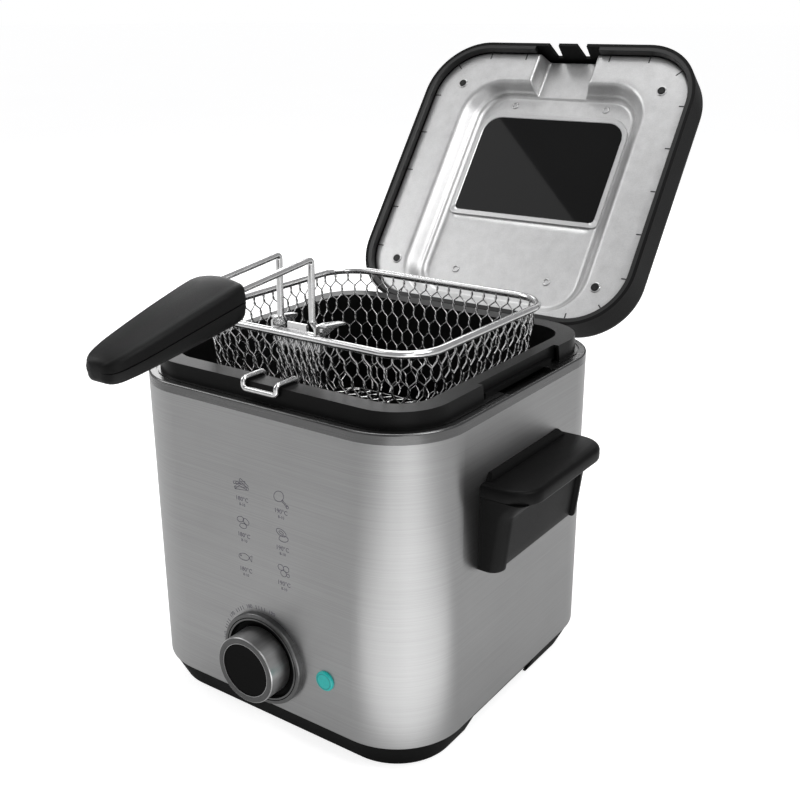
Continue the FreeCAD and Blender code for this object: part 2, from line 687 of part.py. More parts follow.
def side_handle():
    """The handle on the +X side: a block with a finger hollow under a shelf grip."""
    wall = CASE_HALF_X
    block = slab_along_y([
        (wall, HANDLE_BOTTOM), (wall + HANDLE_FOOT_DEPTH, HANDLE_BOTTOM),
        (wall + HANDLE_NECK_DEPTH, HANDLE_NECK_Z), (wall + HANDLE_NECK_DEPTH + 4, HANDLE_NECK_Z + 7),
        (wall + GRIP_REACH, GRIP_TOP - GRIP_THICKNESS + 1), (wall + GRIP_REACH, GRIP_TOP), (wall, GRIP_TOP),
    ], -HANDLE_HALF_Y, HANDLE_HALF_Y)
    block = round_edges(block, 1.5, lambda point: point.z < HANDLE_BOTTOM + 0.1 and point.x > wall + 1)
    plan = prism(GRIP_REACH + 20, HANDLE_HALF_Y, GRIP_CORNER, HANDLE_BOTTOM - 1, GRIP_TOP + 1)
    plan.translate(Vector(wall - 20, 0, 0))
    block = block.common(plan)
    block = round_edges(block, 1.6, lambda point: point.z > GRIP_TOP - 0.1 and point.x > wall + 0.5)
    hollow = slab_along_y([
        (wall + HANDLE_FOOT_DEPTH - HANDLE_HOLLOW, HANDLE_BOTTOM - 1), (wall + 60, HANDLE_BOTTOM - 1),
        (wall + 60, GRIP_TOP - GRIP_THICKNESS), (wall + GRIP_REACH - 5, GRIP_TOP - GRIP_THICKNESS),
        (wall + HANDLE_NECK_DEPTH - 0.5, HANDLE_NECK_Z + 5.5),
        (wall + HANDLE_NECK_DEPTH - HANDLE_HOLLOW, HANDLE_NECK_Z),
    ], -100, 100)
    window = prism(HOLLOW_HALF_Y, HOLLOW_HALF_Z, HOLLOW_CORNER, 0, 60)
    window.rotate(Vector(0, 0, 0), Vector(1, 0, 0), 90)
    window.rotate(Vector(0, 0, 0), UP, 90)
    window.translate(Vector(wall, 0, GRIP_TOP - GRIP_THICKNESS - HOLLOW_HALF_Z))
    handle = block.cut(hollow.common(window))
    half_length = HANDLE_HALF_Y - 5
    upstand = slab_along_x([
        (-half_length, GRIP_TOP - 4), (half_length, GRIP_TOP - 4),
        (half_length - 3, UPSTAND_TOP), (3 - half_length, UPSTAND_TOP),
    ], wall, wall + 3.4)
    slope = slab_along_y([
        (wall, GRIP_TOP - 4), (wall + 3.4, GRIP_TOP - 4), (wall + 3.4, GRIP_TOP),
        (wall + 1.2, UPSTAND_TOP), (wall, UPSTAND_TOP),
    ], -100, 100)
    handle = handle.fuse(upstand.common(slope))
    for end in (-1, 1):
        handle = handle.cut(x_rod(1.9, end * HANDLE_SCREW_Y, HANDLE_SCREW_Z, wall - 1, wall + 6))
    return handle.removeSplitter()


def handle_screw(side, end):
    y = end * HANDLE_SCREW_Y
    inner = side * (CASE_HALF_X - CASE_WALL)
    head = x_rod(3.6, y, HANDLE_SCREW_Z, inner - side * 2.0, inner)
    return head.fuse(x_rod(1.9, y, HANDLE_SCREW_Z, inner - side * 0.5, side * (CASE_HALF_X + 6)))


def cord_inlet():
    wall = CASE_HALF_Y
    collar = y_rod(10.0, INLET_X, INLET_Z, wall, wall + 3.0)
    collar = round_edges(collar, 1.0, lambda point: point.y > wall + 2.9)
    neck = y_rod(INLET_NECK, INLET_X, INLET_Z, wall - 5, wall + 0.5)
    latch = y_rod(7.6, INLET_X, INLET_Z, wall - 5, wall - 2)
    return collar.fuse(neck).fuse(latch).cut(y_rod(3.7, INLET_X, INLET_Z, wall - 6, wall + 4))


def hinge_mount():
    wall = CASE_HALF_Y
    plate = box(-LUG_OUTER_X, LUG_OUTER_X, wall, wall + 2.2, 163, 176)
    web = [
        (wall, 164), (wall, HINGE_Z), (HINGE_Y + LUG_RADIUS, HINGE_Z),
        (HINGE_Y + LUG_RADIUS, HINGE_Z - 6), (wall + 2.2, 166),
    ]
    mount = plate
    for side in (-1, 1):
        for low, high in (
            (LUG_INNER_X, KNUCKLE_INNER_X - SIDE_GAP),
            (KNUCKLE_OUTER_X + SIDE_GAP, LUG_OUTER_X),
        ):
            span = sorted((side * low, side * high))
            lug = slab_along_x(web, *span).fuse(x_rod(LUG_RADIUS, HINGE_Y, HINGE_Z, *span))
            mount = mount.fuse(lug)
        span = (side * (LUG_INNER_X - 1), side * (LUG_OUTER_X + 1))
        mount = mount.cut(x_rod(PIN_RADIUS, HINGE_Y, HINGE_Z, *span))
        mount = mount.cut(y_rod(1.6, side * MOUNT_SCREW_X, MOUNT_SCREW_Z, wall - 1, wall + 3))
    mount = mount.cut(case_prism(-0.02, 100, 181.95))
    return mount.removeSplitter()


def hinge_mount_screw(side):
    wall = CASE_HALF_Y
    head = y_rod(3.0, side * MOUNT_SCREW_X, MOUNT_SCREW_Z, wall + 2.2, wall + 3.8)
    return head.fuse(y_rod(1.6, side * MOUNT_SCREW_X, MOUNT_SCREW_Z, wall - 6, wall + 2.3))


def hinge_pin(side):
    return x_rod(PIN_RADIUS, HINGE_Y, HINGE_Z, side * LUG_INNER_X, side * LUG_OUTER_X)


def drain_hook():
    arm_z = RIM_TOP + HOOK_RADIUS + 0.05
    points = [
        (-HOOK_X, HOOK_LEG_Y, RIM_TOP - 9),
        (-HOOK_X, HOOK_LEG_Y, arm_z),
        (-HOOK_X, HOOK_LOOP_Y, arm_z),
        (-HOOK_X, HOOK_LOOP_Y, HOOK_BOTTOM_Z),
        (HOOK_X, HOOK_LOOP_Y, HOOK_BOTTOM_Z),
        (HOOK_X, HOOK_LOOP_Y, arm_z),
        (HOOK_X, HOOK_LEG_Y, arm_z),
        (HOOK_X, HOOK_LEG_Y, RIM_TOP - 9),
    ]
    return bent_wire(points, HOOK_RADIUS, 2.0)


# ---- lid, built closed --------------------------------------------------------------

def lid_prism(inset, low, high):
    return prism(LID_HALF_X - inset, LID_HALF_Y - inset, LID_CORNER - inset, low, high)


def window_prism(lap, low, high):
    """Prism that follows the lid window, grown by lap on each side."""
    return prism(
        WINDOW_HALF_X + lap, WINDOW_HALF_Y + lap, WINDOW_CORNER + max(lap, -2), low, high, WINDOW_CENTRE_Y,
    )


def lid_screw_places():
    for side in (-1, 1):
        for y in (LID_SCREW_FRONT_Y, LID_SCREW_REAR_Y):
            yield side * LID_SCREW_X, y


def lid_cover():
    shell = lid_prism(0, LIP_Z, LID_TOP)
    shell = round_edges(shell, LID_EDGE, lambda point: point.z > LID_TOP - 0.1)
    hollow = lid_prism(LID_WALL, LIP_Z - 1, CEILING_Z)
    hollow = round_edges(hollow, LID_EDGE - LID_WALL, lambda point: point.z > CEILING_Z - 0.1)
    shell = shell.cut(hollow)
    shell = shell.fuse(window_prism(WINDOW_LAP + 1, COLLAR_Z, CEILING_Z + 0.2))
    shell = shell.cut(window_prism(0, COLLAR_Z - 1, LID_TOP + 1))
    for x, y in lid_screw_places():
        shell = shell.fuse(z_rod(4.0, x, y, PANEL_Z + PANEL_SHEET, CEILING_Z + 0.5))
        shell = shell.cut(z_rod(1.3, x, y, PANEL_Z, PANEL_Z + 12))
    arm = [
        (LID_HALF_Y - 0.5, LIP_Z + 0.4), (LID_HALF_Y - 0.5, LIP_Z + 14), (HINGE_Y + 1.5, LIP_Z + 12),
        (HINGE_Y + LUG_RADIUS, HINGE_Z + 4), (HINGE_Y + LUG_RADIUS, HINGE_Z),
        (HINGE_Y, HINGE_Z), (HINGE_Y - LUG_RADIUS + 1, HINGE_Z + 2.7),
    ]
    for side in (-1, 1):
        slot = [
            (side * WIRE_X - SLOT_MOUTH / 2, LIP_Z - 0.5), (side * WIRE_X + SLOT_MOUTH / 2, LIP_Z - 0.5),
            (side * WIRE_X + SLOT_TOP / 2, LIP_Z + SLOT_DEPTH),
            (side * WIRE_X - SLOT_TOP / 2, LIP_Z + SLOT_DEPTH),
        ]
        shell = shell.cut(slab_along_y(slot, -LID_HALF_Y - 1, -LID_HALF_Y + LID_WALL + 1))
        span = sorted((side * KNUCKLE_INNER_X, side * KNUCKLE_OUTER_X))
        shell = shell.fuse(slab_along_x(arm, *span)).fuse(x_rod(LUG_RADIUS, HINGE_Y, HINGE_Z, *span))
        shell = shell.cut(x_rod(PIN_RADIUS + RUNNING_GAP, HINGE_Y, HINGE_Z, span[0] - 1, span[1] + 1))
        for low, high in (
            (LUG_INNER_X - SIDE_GAP, KNUCKLE_INNER_X),
            (KNUCKLE_OUTER_X, LUG_OUTER_X + SIDE_GAP),
        ):
            clearance = sorted((side * low, side * high))
            shell = shell.cut(x_rod(LUG_CLEARANCE, HINGE_Y, HINGE_Z, *clearance))
    return shell.removeSplitter()


def dish(grow, floor_z):
    mouth = outline(
        DISH_MOUTH_X + grow, DISH_MOUTH_Y + grow, DISH_MOUTH_CORNER + grow, PANEL_Z, DISH_MOUTH_CENTRE_Y,
    )
    floor = outline(
        DISH_FLOOR_X + grow, DISH_FLOOR_Y + grow, DISH_FLOOR_CORNER + grow, floor_z, DISH_FLOOR_CENTRE_Y,
    )
    return loft(mouth, floor)


def channel(grow, floor_z):
    front = -(LID_HALF_Y - PANEL_INSET)
    profile = [
        (-CHANNEL_MOUTH_X - grow, PANEL_Z), (CHANNEL_MOUTH_X + grow, PANEL_Z),
        (CHANNEL_FLOOR_X + grow, floor_z), (-CHANNEL_FLOOR_X - grow, floor_z),
    ]
    return slab_along_y(profile, front, -40)


def lid_panel():
    flange = prism(
        LID_HALF_X - PANEL_INSET, LID_HALF_Y - PANEL_INSET, LID_CORNER - PANEL_INSET,
        PANEL_Z, PANEL_Z + PANEL_SHEET,
    )
    panel = flange.fuse(dish(PANEL_SHEET, DISH_FLOOR_Z + PANEL_SHEET))
    panel = panel.fuse(channel(PANEL_SHEET, CHANNEL_FLOOR_Z + PANEL_SHEET))
    panel = panel.cut(dish(0, DISH_FLOOR_Z)).cut(channel(0, CHANNEL_FLOOR_Z))
    panel = panel.cut(window_prism(0, DISH_FLOOR_Z - 1, DISH_FLOOR_Z + 3))
    for x, y in lid_screw_places():
        panel = panel.cut(z_rod(1.6, x, y, PANEL_Z - 1, PANEL_Z + 2))
    return panel.removeSplitter()


def window_frame():
    frame = window_prism(FRAME_LAP, DISH_FLOOR_Z - FRAME_THICKNESS, DISH_FLOOR_Z)
    return frame.cut(window_prism(0, DISH_FLOOR_Z - 3, DISH_FLOOR_Z + 1))


def window_gasket():
    gasket = window_prism(WINDOW_LAP, GASKET_Z, GLASS_Z)
    return gasket.cut(window_prism(1.0, GASKET_Z - 1, GLASS_Z + 1))


def window_glass():
    return window_prism(WINDOW_LAP - 0.5, GLASS_Z, COLLAR_Z)


def lid_screw(x, y):
    head = z_rod(2.3, x, y, PANEL_Z - 1.0, PANEL_Z)
    return head.fuse(z_rod(1.3, x, y, PANEL_Z - 0.1, PANEL_Z + 11))


# ---- basket and its handle ----------------------------------------------------------

def basket_outline(inset, z):
    return outline(
        BASKET_HALF_X - inset, BASKET_HALF_Y - inset, BASKET_CORNER - min(inset, 6.0), z, BASKET_CENTRE_Y,
    )


def basket_rim():
    path = basket_outline(0, BASKET_RIM_Z)
    start = path.Vertexes[0].Point
    section = Part.Wire(Part.Circle(start, TO_REAR, RIM_WIRE).toShape())
    return path.makePipeShell([section], True, True)


def basket_mesh():
    top_z = BASKET_RIM_Z
    outer = loft(basket_outline(BASKET_BOTTOM_DRAFT, BASKET_BOTTOM_Z), basket_outline(0.6, top_z))
    outer = round_edges(outer, 9.0, lambda point: point.z < BASKET_BOTTOM_Z + 0.1)
    inner = loft(
        basket_outline(BASKET_BOTTOM_DRAFT + BASKET_SHEET, BASKET_BOTTOM_Z + BASKET_SHEET),
        basket_outline(0.6 + BASKET_SHEET, top_z + 0.1),
    )
    inner = round_edges(inner, 8.0, lambda point: point.z < BASKET_BOTTOM_Z + BASKET_SHEET + 0.1)
    return outer.cut(inner)


def handle_bracket():
    inner = BASKET_FRONT_Y + RIM_WIRE + 0.1
    plate = box(-EAR_X, EAR_X, inner, inner + EAR_SHEET, 201.5, 210.6)
    tab = box(-6.0, 6.0, inner, inner + EAR_SHEET, 210.5, 214.2)
    bracket = plate.fuse(tab)
    ear = [
        (inner, 201.5), (inner, 210.8), (-65.2, 210.8), (-65.2, 214.2), (-63.0, 215.4),
        (-58, 215.4), (-46, 213.6), (-46, 212.2), (-57.5, 209), (-60.0, 201.5),
    ]
    wing = [(-61, 214.2), (-46, 212.4), (-46, 213.6), (-61, 215.4)]
    for side in (-1, 1):
        span = sorted((side * EAR_X, side * (EAR_X + EAR_SHEET)))
        bracket = bracket.fuse(slab_along_x(ear, *span))
        span = sorted((side * (EAR_X + EAR_SHEET / 2), side * 17.5))
        bracket = bracket.fuse(slab_along_x(wing, *span))
        bracket = bracket.cut(x_rod(WIRE_RADIUS + RUNNING_GAP, PIVOT_Y, PIVOT_Z, side * 11, side * 18.5))
    return bracket.removeSplitter()


def bracket_rivet(side):
    inner = BASKET_FRONT_Y + RIM_WIRE + 0.1 + EAR_SHEET
    return y_rod(1.9, side * 8.5, 205.6, inner, inner + 1.0)


def handle_wire(side):
    points = [
        (side * (EAR_X + EAR_SHEET + 0.9), PIVOT_Y, PIVOT_Z),
        (side * WIRE_X, PIVOT_Y, PIVOT_Z),
        (side * WIRE_X, RISER_Y, RISER_FOOT_Z),
        (side * WIRE_X, RISER_Y + 0.5, WIRE_TOP_Z),
        (side * WIRE_X, GRIP_FRONT_Y + 2, WIRE_TOP_Z - WIRE_DROP),
        (side * WIRE_X, GRIP_FRONT_Y - 14, WIRE_TOP_Z - WIRE_DROP - 3.6),
    ]
    return bent_wire(points, WIRE_RADIUS, 2.1)


def grip_blank():
    wires = []
    for y, z, half_height, half_width, corner in GRIP_SECTIONS:
        wire = outline(half_width, half_height, corner, 0)
        wire.rotate(Vector(0, 0, 0), Vector(1, 0, 0), 90)
        wire.translate(Vector(0, y, z))
        wires.append(wire)
    return Part.makeLoft(wires, True, True)


def grip_half(upper):
    first = GRIP_SECTIONS[0]
    last = GRIP_SECTIONS[-1]
    slope = (last[1] - first[1]) / (last[0] - first[0])
    seam_front = first[1] + slope * (-100 - first[0])
    seam_tip = first[1] + slope * (-200 - first[0])
    far = 300 if upper else 150
    keep = slab_along_x([(-100, seam_front), (-200, seam_tip), (-200, far), (-100, far)], -40, 40)
    half = grip_blank().common(keep)
    for side in (-1, 1):
        half = half.cut(handle_wire(side))
    for y in GRIP_SCREW_Y:
        half = half.cut(grip_screw_hole(y))
    return half


def underside_z(y):
    """Height of the grip's underside at distance y."""
    for near, far in zip(GRIP_SECTIONS, GRIP_SECTIONS[1:]):
        if far[0] <= y <= near[0]:
            share = (y - near[0]) / (far[0] - near[0])
            low_near = near[1] - near[2]
            low_far = far[1] - far[2]
            return low_near + share * (low_far - low_near)
    return 0.0


def grip_screw(y):
    """Screw sunk in the underside of the grip."""
    z = underside_z(y) + 1.4
    head = z_rod(2.6, 0, y, z, z + 1.6)
    return head.fuse(z_rod(1.2, 0, y, z + 1.5, z + 9))


def grip_screw_hole(y):
    z = underside_z(y) + 1.4
    return z_rod(2.6, 0, y, z - 6, z + 1.6).fuse(z_rod(1.2, 0, y, z, z + 9))


# ---- every node ---------------------------------------------------------------------

def nodes():
    yield "outer_casing", outer_casing()
    yield "base_tray", base_tray()
    yield "foot_pads", group(foot_pad(x, y) for x, y in corners(FOOT_X, FOOT_Y))
    yield "base_screws", group(base_screw(x, y) for x, y in corners(POST_OFFSET, POST_OFFSET))
    yield "top_ring", top_ring()
    yield "oil_bowl", oil_bowl()
    yield "heat_plate", heat_plate()
    yield "heating_element", heating_element()
    yield "heat_shield", heat_shield()
    yield "shield_posts", group(shield_post(x, y) for x, y in corners(POST_OFFSET, POST_OFFSET))
    yield "plate_studs", group(plate_stud(x, y) for x, y in corners(POST_OFFSET, POST_OFFSET))
    yield "thermostat_body", thermostat_body()
    yield "thermostat_bracket", thermostat_bracket()
    yield "thermostat_nut", thermostat_nut()
    yield "sensor_bulb", sensor_bulb()
    yield "capillary_tube", capillary_tube()
    yield "thermal_fuse", thermal_fuse()
    yield "terminal_block", terminal_block()
    yield "internal_leads", internal_leads()
    yield "indicator_lens", indicator_lens()
    yield "indicator_lamp", indicator_lamp()
    yield "dial_bezel", dial_bezel()
    yield "side_handle_right", side_handle()
    yield "side_handle_left", mirrored(side_handle())
    yield "handle_screws", group(handle_screw(side, end) for side, end in corners(1, 1))
    yield "cord_inlet", cord_inlet()
    yield "hinge_mount", hinge_mount()
    yield "hinge_mount_screws", group(hinge_mount_screw(side) for side in (-1, 1))
    yield "hinge_pins", group(hinge_pin(side) for side in (-1, 1))
    yield "drain_hook", drain_hook()

    yield "knob_sleeve", knob_sleeve()
    yield "knob_cap", knob_cap()
    yield "thermostat_shaft", thermostat_shaft()

    yield "lid_cover", swing_open(lid_cover())
    yield "lid_panel", swing_open(lid_panel())
    yield "window_frame", swing_open(window_frame())
    yield "window_gasket", swing_open(window_gasket())
    yield "window_glass", swing_open(window_glass())
    yield "lid_screws", swing_open(group(lid_screw(x, y) for x, y in lid_screw_places()))

    yield "basket_rim", basket_rim()
    yield "basket_mesh", basket_mesh()
    yield "handle_bracket", handle_bracket()
    yield "bracket_rivets", group(bracket_rivet(side) for side in (-1, 1))

    yield "handle_wires", group(handle_wire(side) for side in (-1, 1))
    yield "grip_upper", grip_half(True)
    yield "grip_lower", grip_half(False)
    yield "grip_screws", group(grip_screw(y) for y in GRIP_SCREW_Y)


os.makedirs("parts", exist_ok=True)
for name, shape in nodes():
    shape.exportStep(os.path.join("parts", name + ".step"))
    bounds = shape.BoundBox
    print("%-20s %2d solid(s)  valid %s  x %.1f..%.1f  y %.1f..%.1f  z %.1f..%.1f" % (
        name, len(shape.Solids), shape.isValid(),
        bounds.XMin, bounds.XMax, bounds.YMin, bounds.YMax, bounds.ZMin, bounds.ZMax,
    ))
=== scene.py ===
import math

import bpy
from mathutils import Matrix, Vector


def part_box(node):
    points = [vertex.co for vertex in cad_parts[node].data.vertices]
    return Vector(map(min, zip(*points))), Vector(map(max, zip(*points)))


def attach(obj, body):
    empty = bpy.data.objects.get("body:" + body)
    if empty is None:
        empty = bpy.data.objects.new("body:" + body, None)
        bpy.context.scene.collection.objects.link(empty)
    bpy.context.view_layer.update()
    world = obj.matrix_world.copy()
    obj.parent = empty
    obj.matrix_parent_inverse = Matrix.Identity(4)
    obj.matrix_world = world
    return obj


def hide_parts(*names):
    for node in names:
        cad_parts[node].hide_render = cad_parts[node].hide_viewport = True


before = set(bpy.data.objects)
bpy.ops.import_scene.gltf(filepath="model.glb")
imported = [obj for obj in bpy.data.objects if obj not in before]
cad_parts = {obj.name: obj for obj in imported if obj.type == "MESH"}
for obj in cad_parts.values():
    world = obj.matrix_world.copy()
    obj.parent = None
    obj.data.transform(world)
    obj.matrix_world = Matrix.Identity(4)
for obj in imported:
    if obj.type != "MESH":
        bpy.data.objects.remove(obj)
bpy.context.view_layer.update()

MM = 0.001

# ---- sizes shared with the CAD source, in millimetres ----

HINGE_Y = 99.0
HINGE_Z = 183.0
LID_OPEN_DEG = 126.5
CASE_FRONT_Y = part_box("outer_casing")[0].y / MM
PANEL_HALF_X = 91.2
PANEL_HALF_Y = 91.45
PANEL_CORNER = 34.5
PANEL_Z = 190.5
PANEL_SHEET = 0.8
DISH_FLOOR_Z = 202.6
CHANNEL_DEPTH = 10.9
CHANNEL_FLOOR_X = 17.5
CHANNEL_MOUTH_X = 21.0
PANEL_INSET = 4.2
LID_HALF_X = 95.4
LID_HALF_Y = 95.65
LID_CORNER = 38.7
LIP_Z = 185.6
BASKET_HALF_X = 72.0
BASKET_HALF_Y = 66.25
BASKET_CENTRE_Y = 1.75
BASKET_CORNER = 22.0
BASKET_RIM_Z = 208.5
BASKET_BOTTOM_Z = 138.5
DIAL_Z = 43.0
# sections of the basket grip: y, centre height, half height, half width
GRIP_SECTIONS = (
    (-112.5, 238.4, 9.3, 15.2), (-118.0, 237.5, 9.7, 15.9), (-134.0, 234.1, 9.2, 15.2),
    (-150.0, 230.6, 8.4, 14.3), (-164.0, 227.4, 7.5, 13.2), (-174.0, 225.1, 6.8, 12.0),
    (-181.0, 223.4, 6.0, 10.2), (-184.0, 222.7, 5.0, 8.0), (-185.5, 222.4, 3.6, 5.2),
)


# ---- materials ----

NOISE_ROUGHNESS = 0.55
# the part of a noise that is spread over a colour or roughness range
NOISE_LOW = 0.3
NOISE_HIGH = 0.7
# how much of a surface's variation comes from its fine grain and from its slow mottle
GRAIN_SHARE = 0.55
MOTTLE_SHARE = 0.45
MOTTLE_DETAIL = 3.0
BRUSH_TURN = 0.25


def linear(level):
    """Linear light of an sRGB level from 0 to 255."""
    value = level / 255.0
    if value <= 0.04045:
        return value / 12.92
    return ((value + 0.055) / 1.055) ** 2.4


def tone(level):
    """Colour of one sRGB level for a grey, or of its red, green and blue levels."""
    red, green, blue = level if isinstance(level, tuple) else (level, level, level)
    return (linear(red), linear(green), linear(blue), 1.0)


def noise_socket(tree, scale, detail, stretch=(1, 1, 1)):
    """Noise in the part's own frame; scale is in waves per metre before stretching."""
    place = tree.nodes.new("ShaderNodeTexCoord")
    mapping = tree.nodes.new("ShaderNodeMapping")
    mapping.inputs["Scale"].default_value = stretch
    noise = tree.nodes.new("ShaderNodeTexNoise")
    for label, value in (("Scale", scale), ("Detail", detail), ("Roughness", NOISE_ROUGHNESS)):
        noise.inputs[label].default_value = value
    tree.links.new(place.outputs["Object"], mapping.inputs["Vector"])
    tree.links.new(mapping.outputs["Vector"], noise.inputs["Vector"])
    return noise.outputs["Fac"]


def ramp_socket(tree, factor, low, high):
    """Colour that runs from low to high over the middle of a noise."""
    ramp = tree.nodes.new("ShaderNodeValToRGB")
    for stop, position, colour in zip(ramp.color_ramp.elements, (NOISE_LOW, NOISE_HIGH), (low, high)):
        stop.position = position
        stop.color = colour
    tree.links.new(factor, ramp.inputs["Fac"])
    return ramp.outputs["Color"]


def range_socket(tree, factor, low, high, start=NOISE_LOW, end=NOISE_HIGH):
    """Number that runs from low to high as factor goes from start to end."""
    spread = tree.nodes.new("ShaderNodeMapRange")
    for label, value in (("From Min", start), ("From Max", end), ("To Min", low), ("To Max", high)):
        spread.inputs[label].default_value = value
    tree.links.new(factor, spread.inputs["Value"])
    return spread.outputs["Result"]


def surface(
    name, levels, rough, scale, bump, specular=0.5, stretch=(1, 1, 1), depth=0.0002,
    mottle=25, detail=4.0, **sockets,
):
    """Material with fine grain and slow variation between two sRGB levels and two roughnesses."""
    material = bpy.data.materials.new(name)
    material.use_nodes = True
    tree = material.node_tree
    shader = tree.nodes["Principled BSDF"]
    fine = noise_socket(tree, scale, detail, stretch)
    broad = noise_socket(tree, mottle, MOTTLE_DETAIL)
    both = tree.nodes.new("ShaderNodeMath")
    both.operation = "MULTIPLY_ADD"
    both.inputs[1].default_value = GRAIN_SHARE
    tree.links.new(fine, both.inputs[0])
    share = tree.nodes.new("ShaderNodeMath")
    share.operation = "MULTIPLY"
    share.inputs[1].default_value = MOTTLE_SHARE
    tree.links.new(broad, share.inputs[0])
    tree.links.new(share.outputs[0], both.inputs[2])
    tree.links.new(ramp_socket(tree, both.outputs[0], *map(tone, levels)), shader.inputs["Base Color"])
    tree.links.new(range_socket(tree, both.outputs[0], *rough), shader.inputs["Roughness"])
    relief = tree.nodes.new("ShaderNodeBump")
    relief.inputs["Strength"].default_value = bump
    relief.inputs["Distance"].default_value = depth
    tree.links.new(fine, relief.inputs["Height"])
    tree.links.new(relief.outputs["Normal"], shader.inputs["Normal"])
    shader.inputs["Specular IOR Level"].default_value = specular
    for label, value in sockets.items():
        shader.inputs[label.replace("_", " ")].default_value = value
    return material


def brushed(name, levels, rough, stretch, axis, anisotropy=0.7, bump=0.12):
    """Brushed metal whose lines run round the given axis."""
    material = surface(
        name, levels, rough, scale=1, stretch=stretch, bump=bump, depth=0.00008,
        mottle=9, detail=6.0, Metallic=1.0, Anisotropic=anisotropy, Anisotropic_Rotation=BRUSH_TURN,
    )
    tree = material.node_tree
    tangent = tree.nodes.new("ShaderNodeTangent")
    tangent.direction_type = "RADIAL"
    tangent.axis = axis
    tree.links.new(tangent.outputs["Tangent"], tree.nodes["Principled BSDF"].inputs["Tangent"])
    return material


casing_steel = brushed("casing_steel", (149, 172), (0.34, 0.4), (14, 14, 3000), "Z", bump=0.14)
base_plastic = surface("base_plastic", (10, 15), (0.5, 0.6), scale=2600, bump=0.22, specular=0.03)
lid_plastic = surface("lid_plastic", (13, 19), (0.4, 0.5), scale=2400, bump=0.25, specular=0.08)
lip_plastic = surface("lip_plastic", (19, 25), (0.34, 0.42), scale=2400, bump=0.2, specular=0.4)
handle_plastic = surface("handle_plastic", (12, 18), (0.34, 0.42), scale=2200, bump=0.22, specular=0.07)
grip_plastic = surface(
    "grip_plastic", (13, 19), (0.36, 0.46), scale=3000, bump=0.4, depth=0.00025,
    specular=0.14,
)
rubber = surface("rubber", (18, 30), (0.7, 0.85), scale=1500, bump=0.4)
ring_metal = brushed(
    "ring_metal", (100, 112), (0.24, 0.3), (40, 40, 1200), "Z", anisotropy=0.35, bump=0.03,
)
bowl_coating = surface(
    "bowl_coating", (12, 19), (0.3, 0.4), scale=1900, bump=0.3, depth=0.00015,
    specular=0.12,
)
panel_aluminium = surface(
    "panel_aluminium", (182, 204), (0.36, 0.44), scale=1500, bump=0.4, depth=0.00014,
    mottle=160, detail=5.0, Metallic=0.85,
)
frame_trim = surface("frame_trim", (192, 208), (0.28, 0.36), scale=1600, bump=0.06, Metallic=1.0)
window_glass = surface(
    "window_glass", (6, 9), (0.02, 0.04), scale=40, bump=0.01, depth=0.0001,
    specular=0.3,
)
# painted shade: the net's wire gets a darker colour than the rim's chrome, standing in for the dark bowl
# that the wires reflect
net_steel_painted_shade = surface(
    "net_steel_painted_shade", (176, 214), (0.18, 0.26), scale=500, bump=0.03, depth=0.00005, Metallic=1.0,
)
chrome = surface("chrome", (214, 236), (0.18, 0.24), scale=400, bump=0.02, depth=0.00005, Metallic=1.0)
knob_metal = brushed("knob_metal", (165, 190), (0.26, 0.34), (700, 60, 700), "Y", anisotropy=0.45)
bezel_metal = brushed("bezel_metal", (88, 112), (0.28, 0.38), (700, 60, 700), "Y", anisotropy=0.4)
knob_rim = brushed("knob_rim", (84, 100), (0.36, 0.44), (900, 60, 900), "Y", anisotropy=0.3)
knob_black = surface("knob_black", (11, 17), (0.45, 0.55), scale=2500, bump=0.15, specular=0.03)
screw_black = surface("screw_black", (26, 40), (0.3, 0.42), scale=900, bump=0.1, Metallic=0.6)
zinc = surface("zinc", (150, 196), (0.24, 0.42), scale=600, bump=0.15, Metallic=1.0, mottle=260)
cast_aluminium = surface(
    "cast_aluminium", (140, 172), (0.5, 0.68), scale=900, bump=0.6, depth=0.0004, Metallic=1.0,
)
element_steel = surface(
    "element_steel", ((96, 92, 88), (134, 128, 120)), (0.4, 0.55), scale=700, bump=0.3,
    Metallic=1.0,
)
control_plastic = surface(
    "control_plastic", ((206, 200, 186), (224, 219, 206)), (0.4, 0.52), scale=1800, bump=0.2,
)
copper = surface(
    "copper", ((176, 110, 78), (208, 142, 104)), (0.22, 0.38), scale=700, bump=0.12, Metallic=1.0,
)
lead_insulation = surface(
    "lead_insulation", ((148, 40, 30), (176, 54, 40)), (0.42, 0.55), scale=1500, bump=0.2,
)
lamp_glass = surface(
    "lamp_glass", ((206, 236, 232), (228, 248, 244)), (0.05, 0.12), scale=300, bump=0.03,
    Transmission_Weight=0.6,
)
lens_teal = surface(
    "lens_teal", ((0, 146, 142), (4, 168, 162)), (0.3, 0.4), scale=900, bump=0.12,
    Coat_Weight=0.2, Coat_Roughness=0.2, Emission_Color=tone((0, 190, 184)), Emission_Strength=0.12,
)
lens_edge = surface("lens_edge", ((0, 126, 124), (0, 142, 140)), (0.3, 0.4), scale=900, bump=0.1)
ink = surface("ink", ((62, 58, 72), (80, 76, 92)), (0.5, 0.62), scale=4000, bump=0.1)
# painted shade: the dark of the relief cuts' gaps, laid on the panel as bars
slit_painted_shade = surface("slit_painted_shade", (34, 52), (0.5, 0.62), scale=3000, bump=0.1)

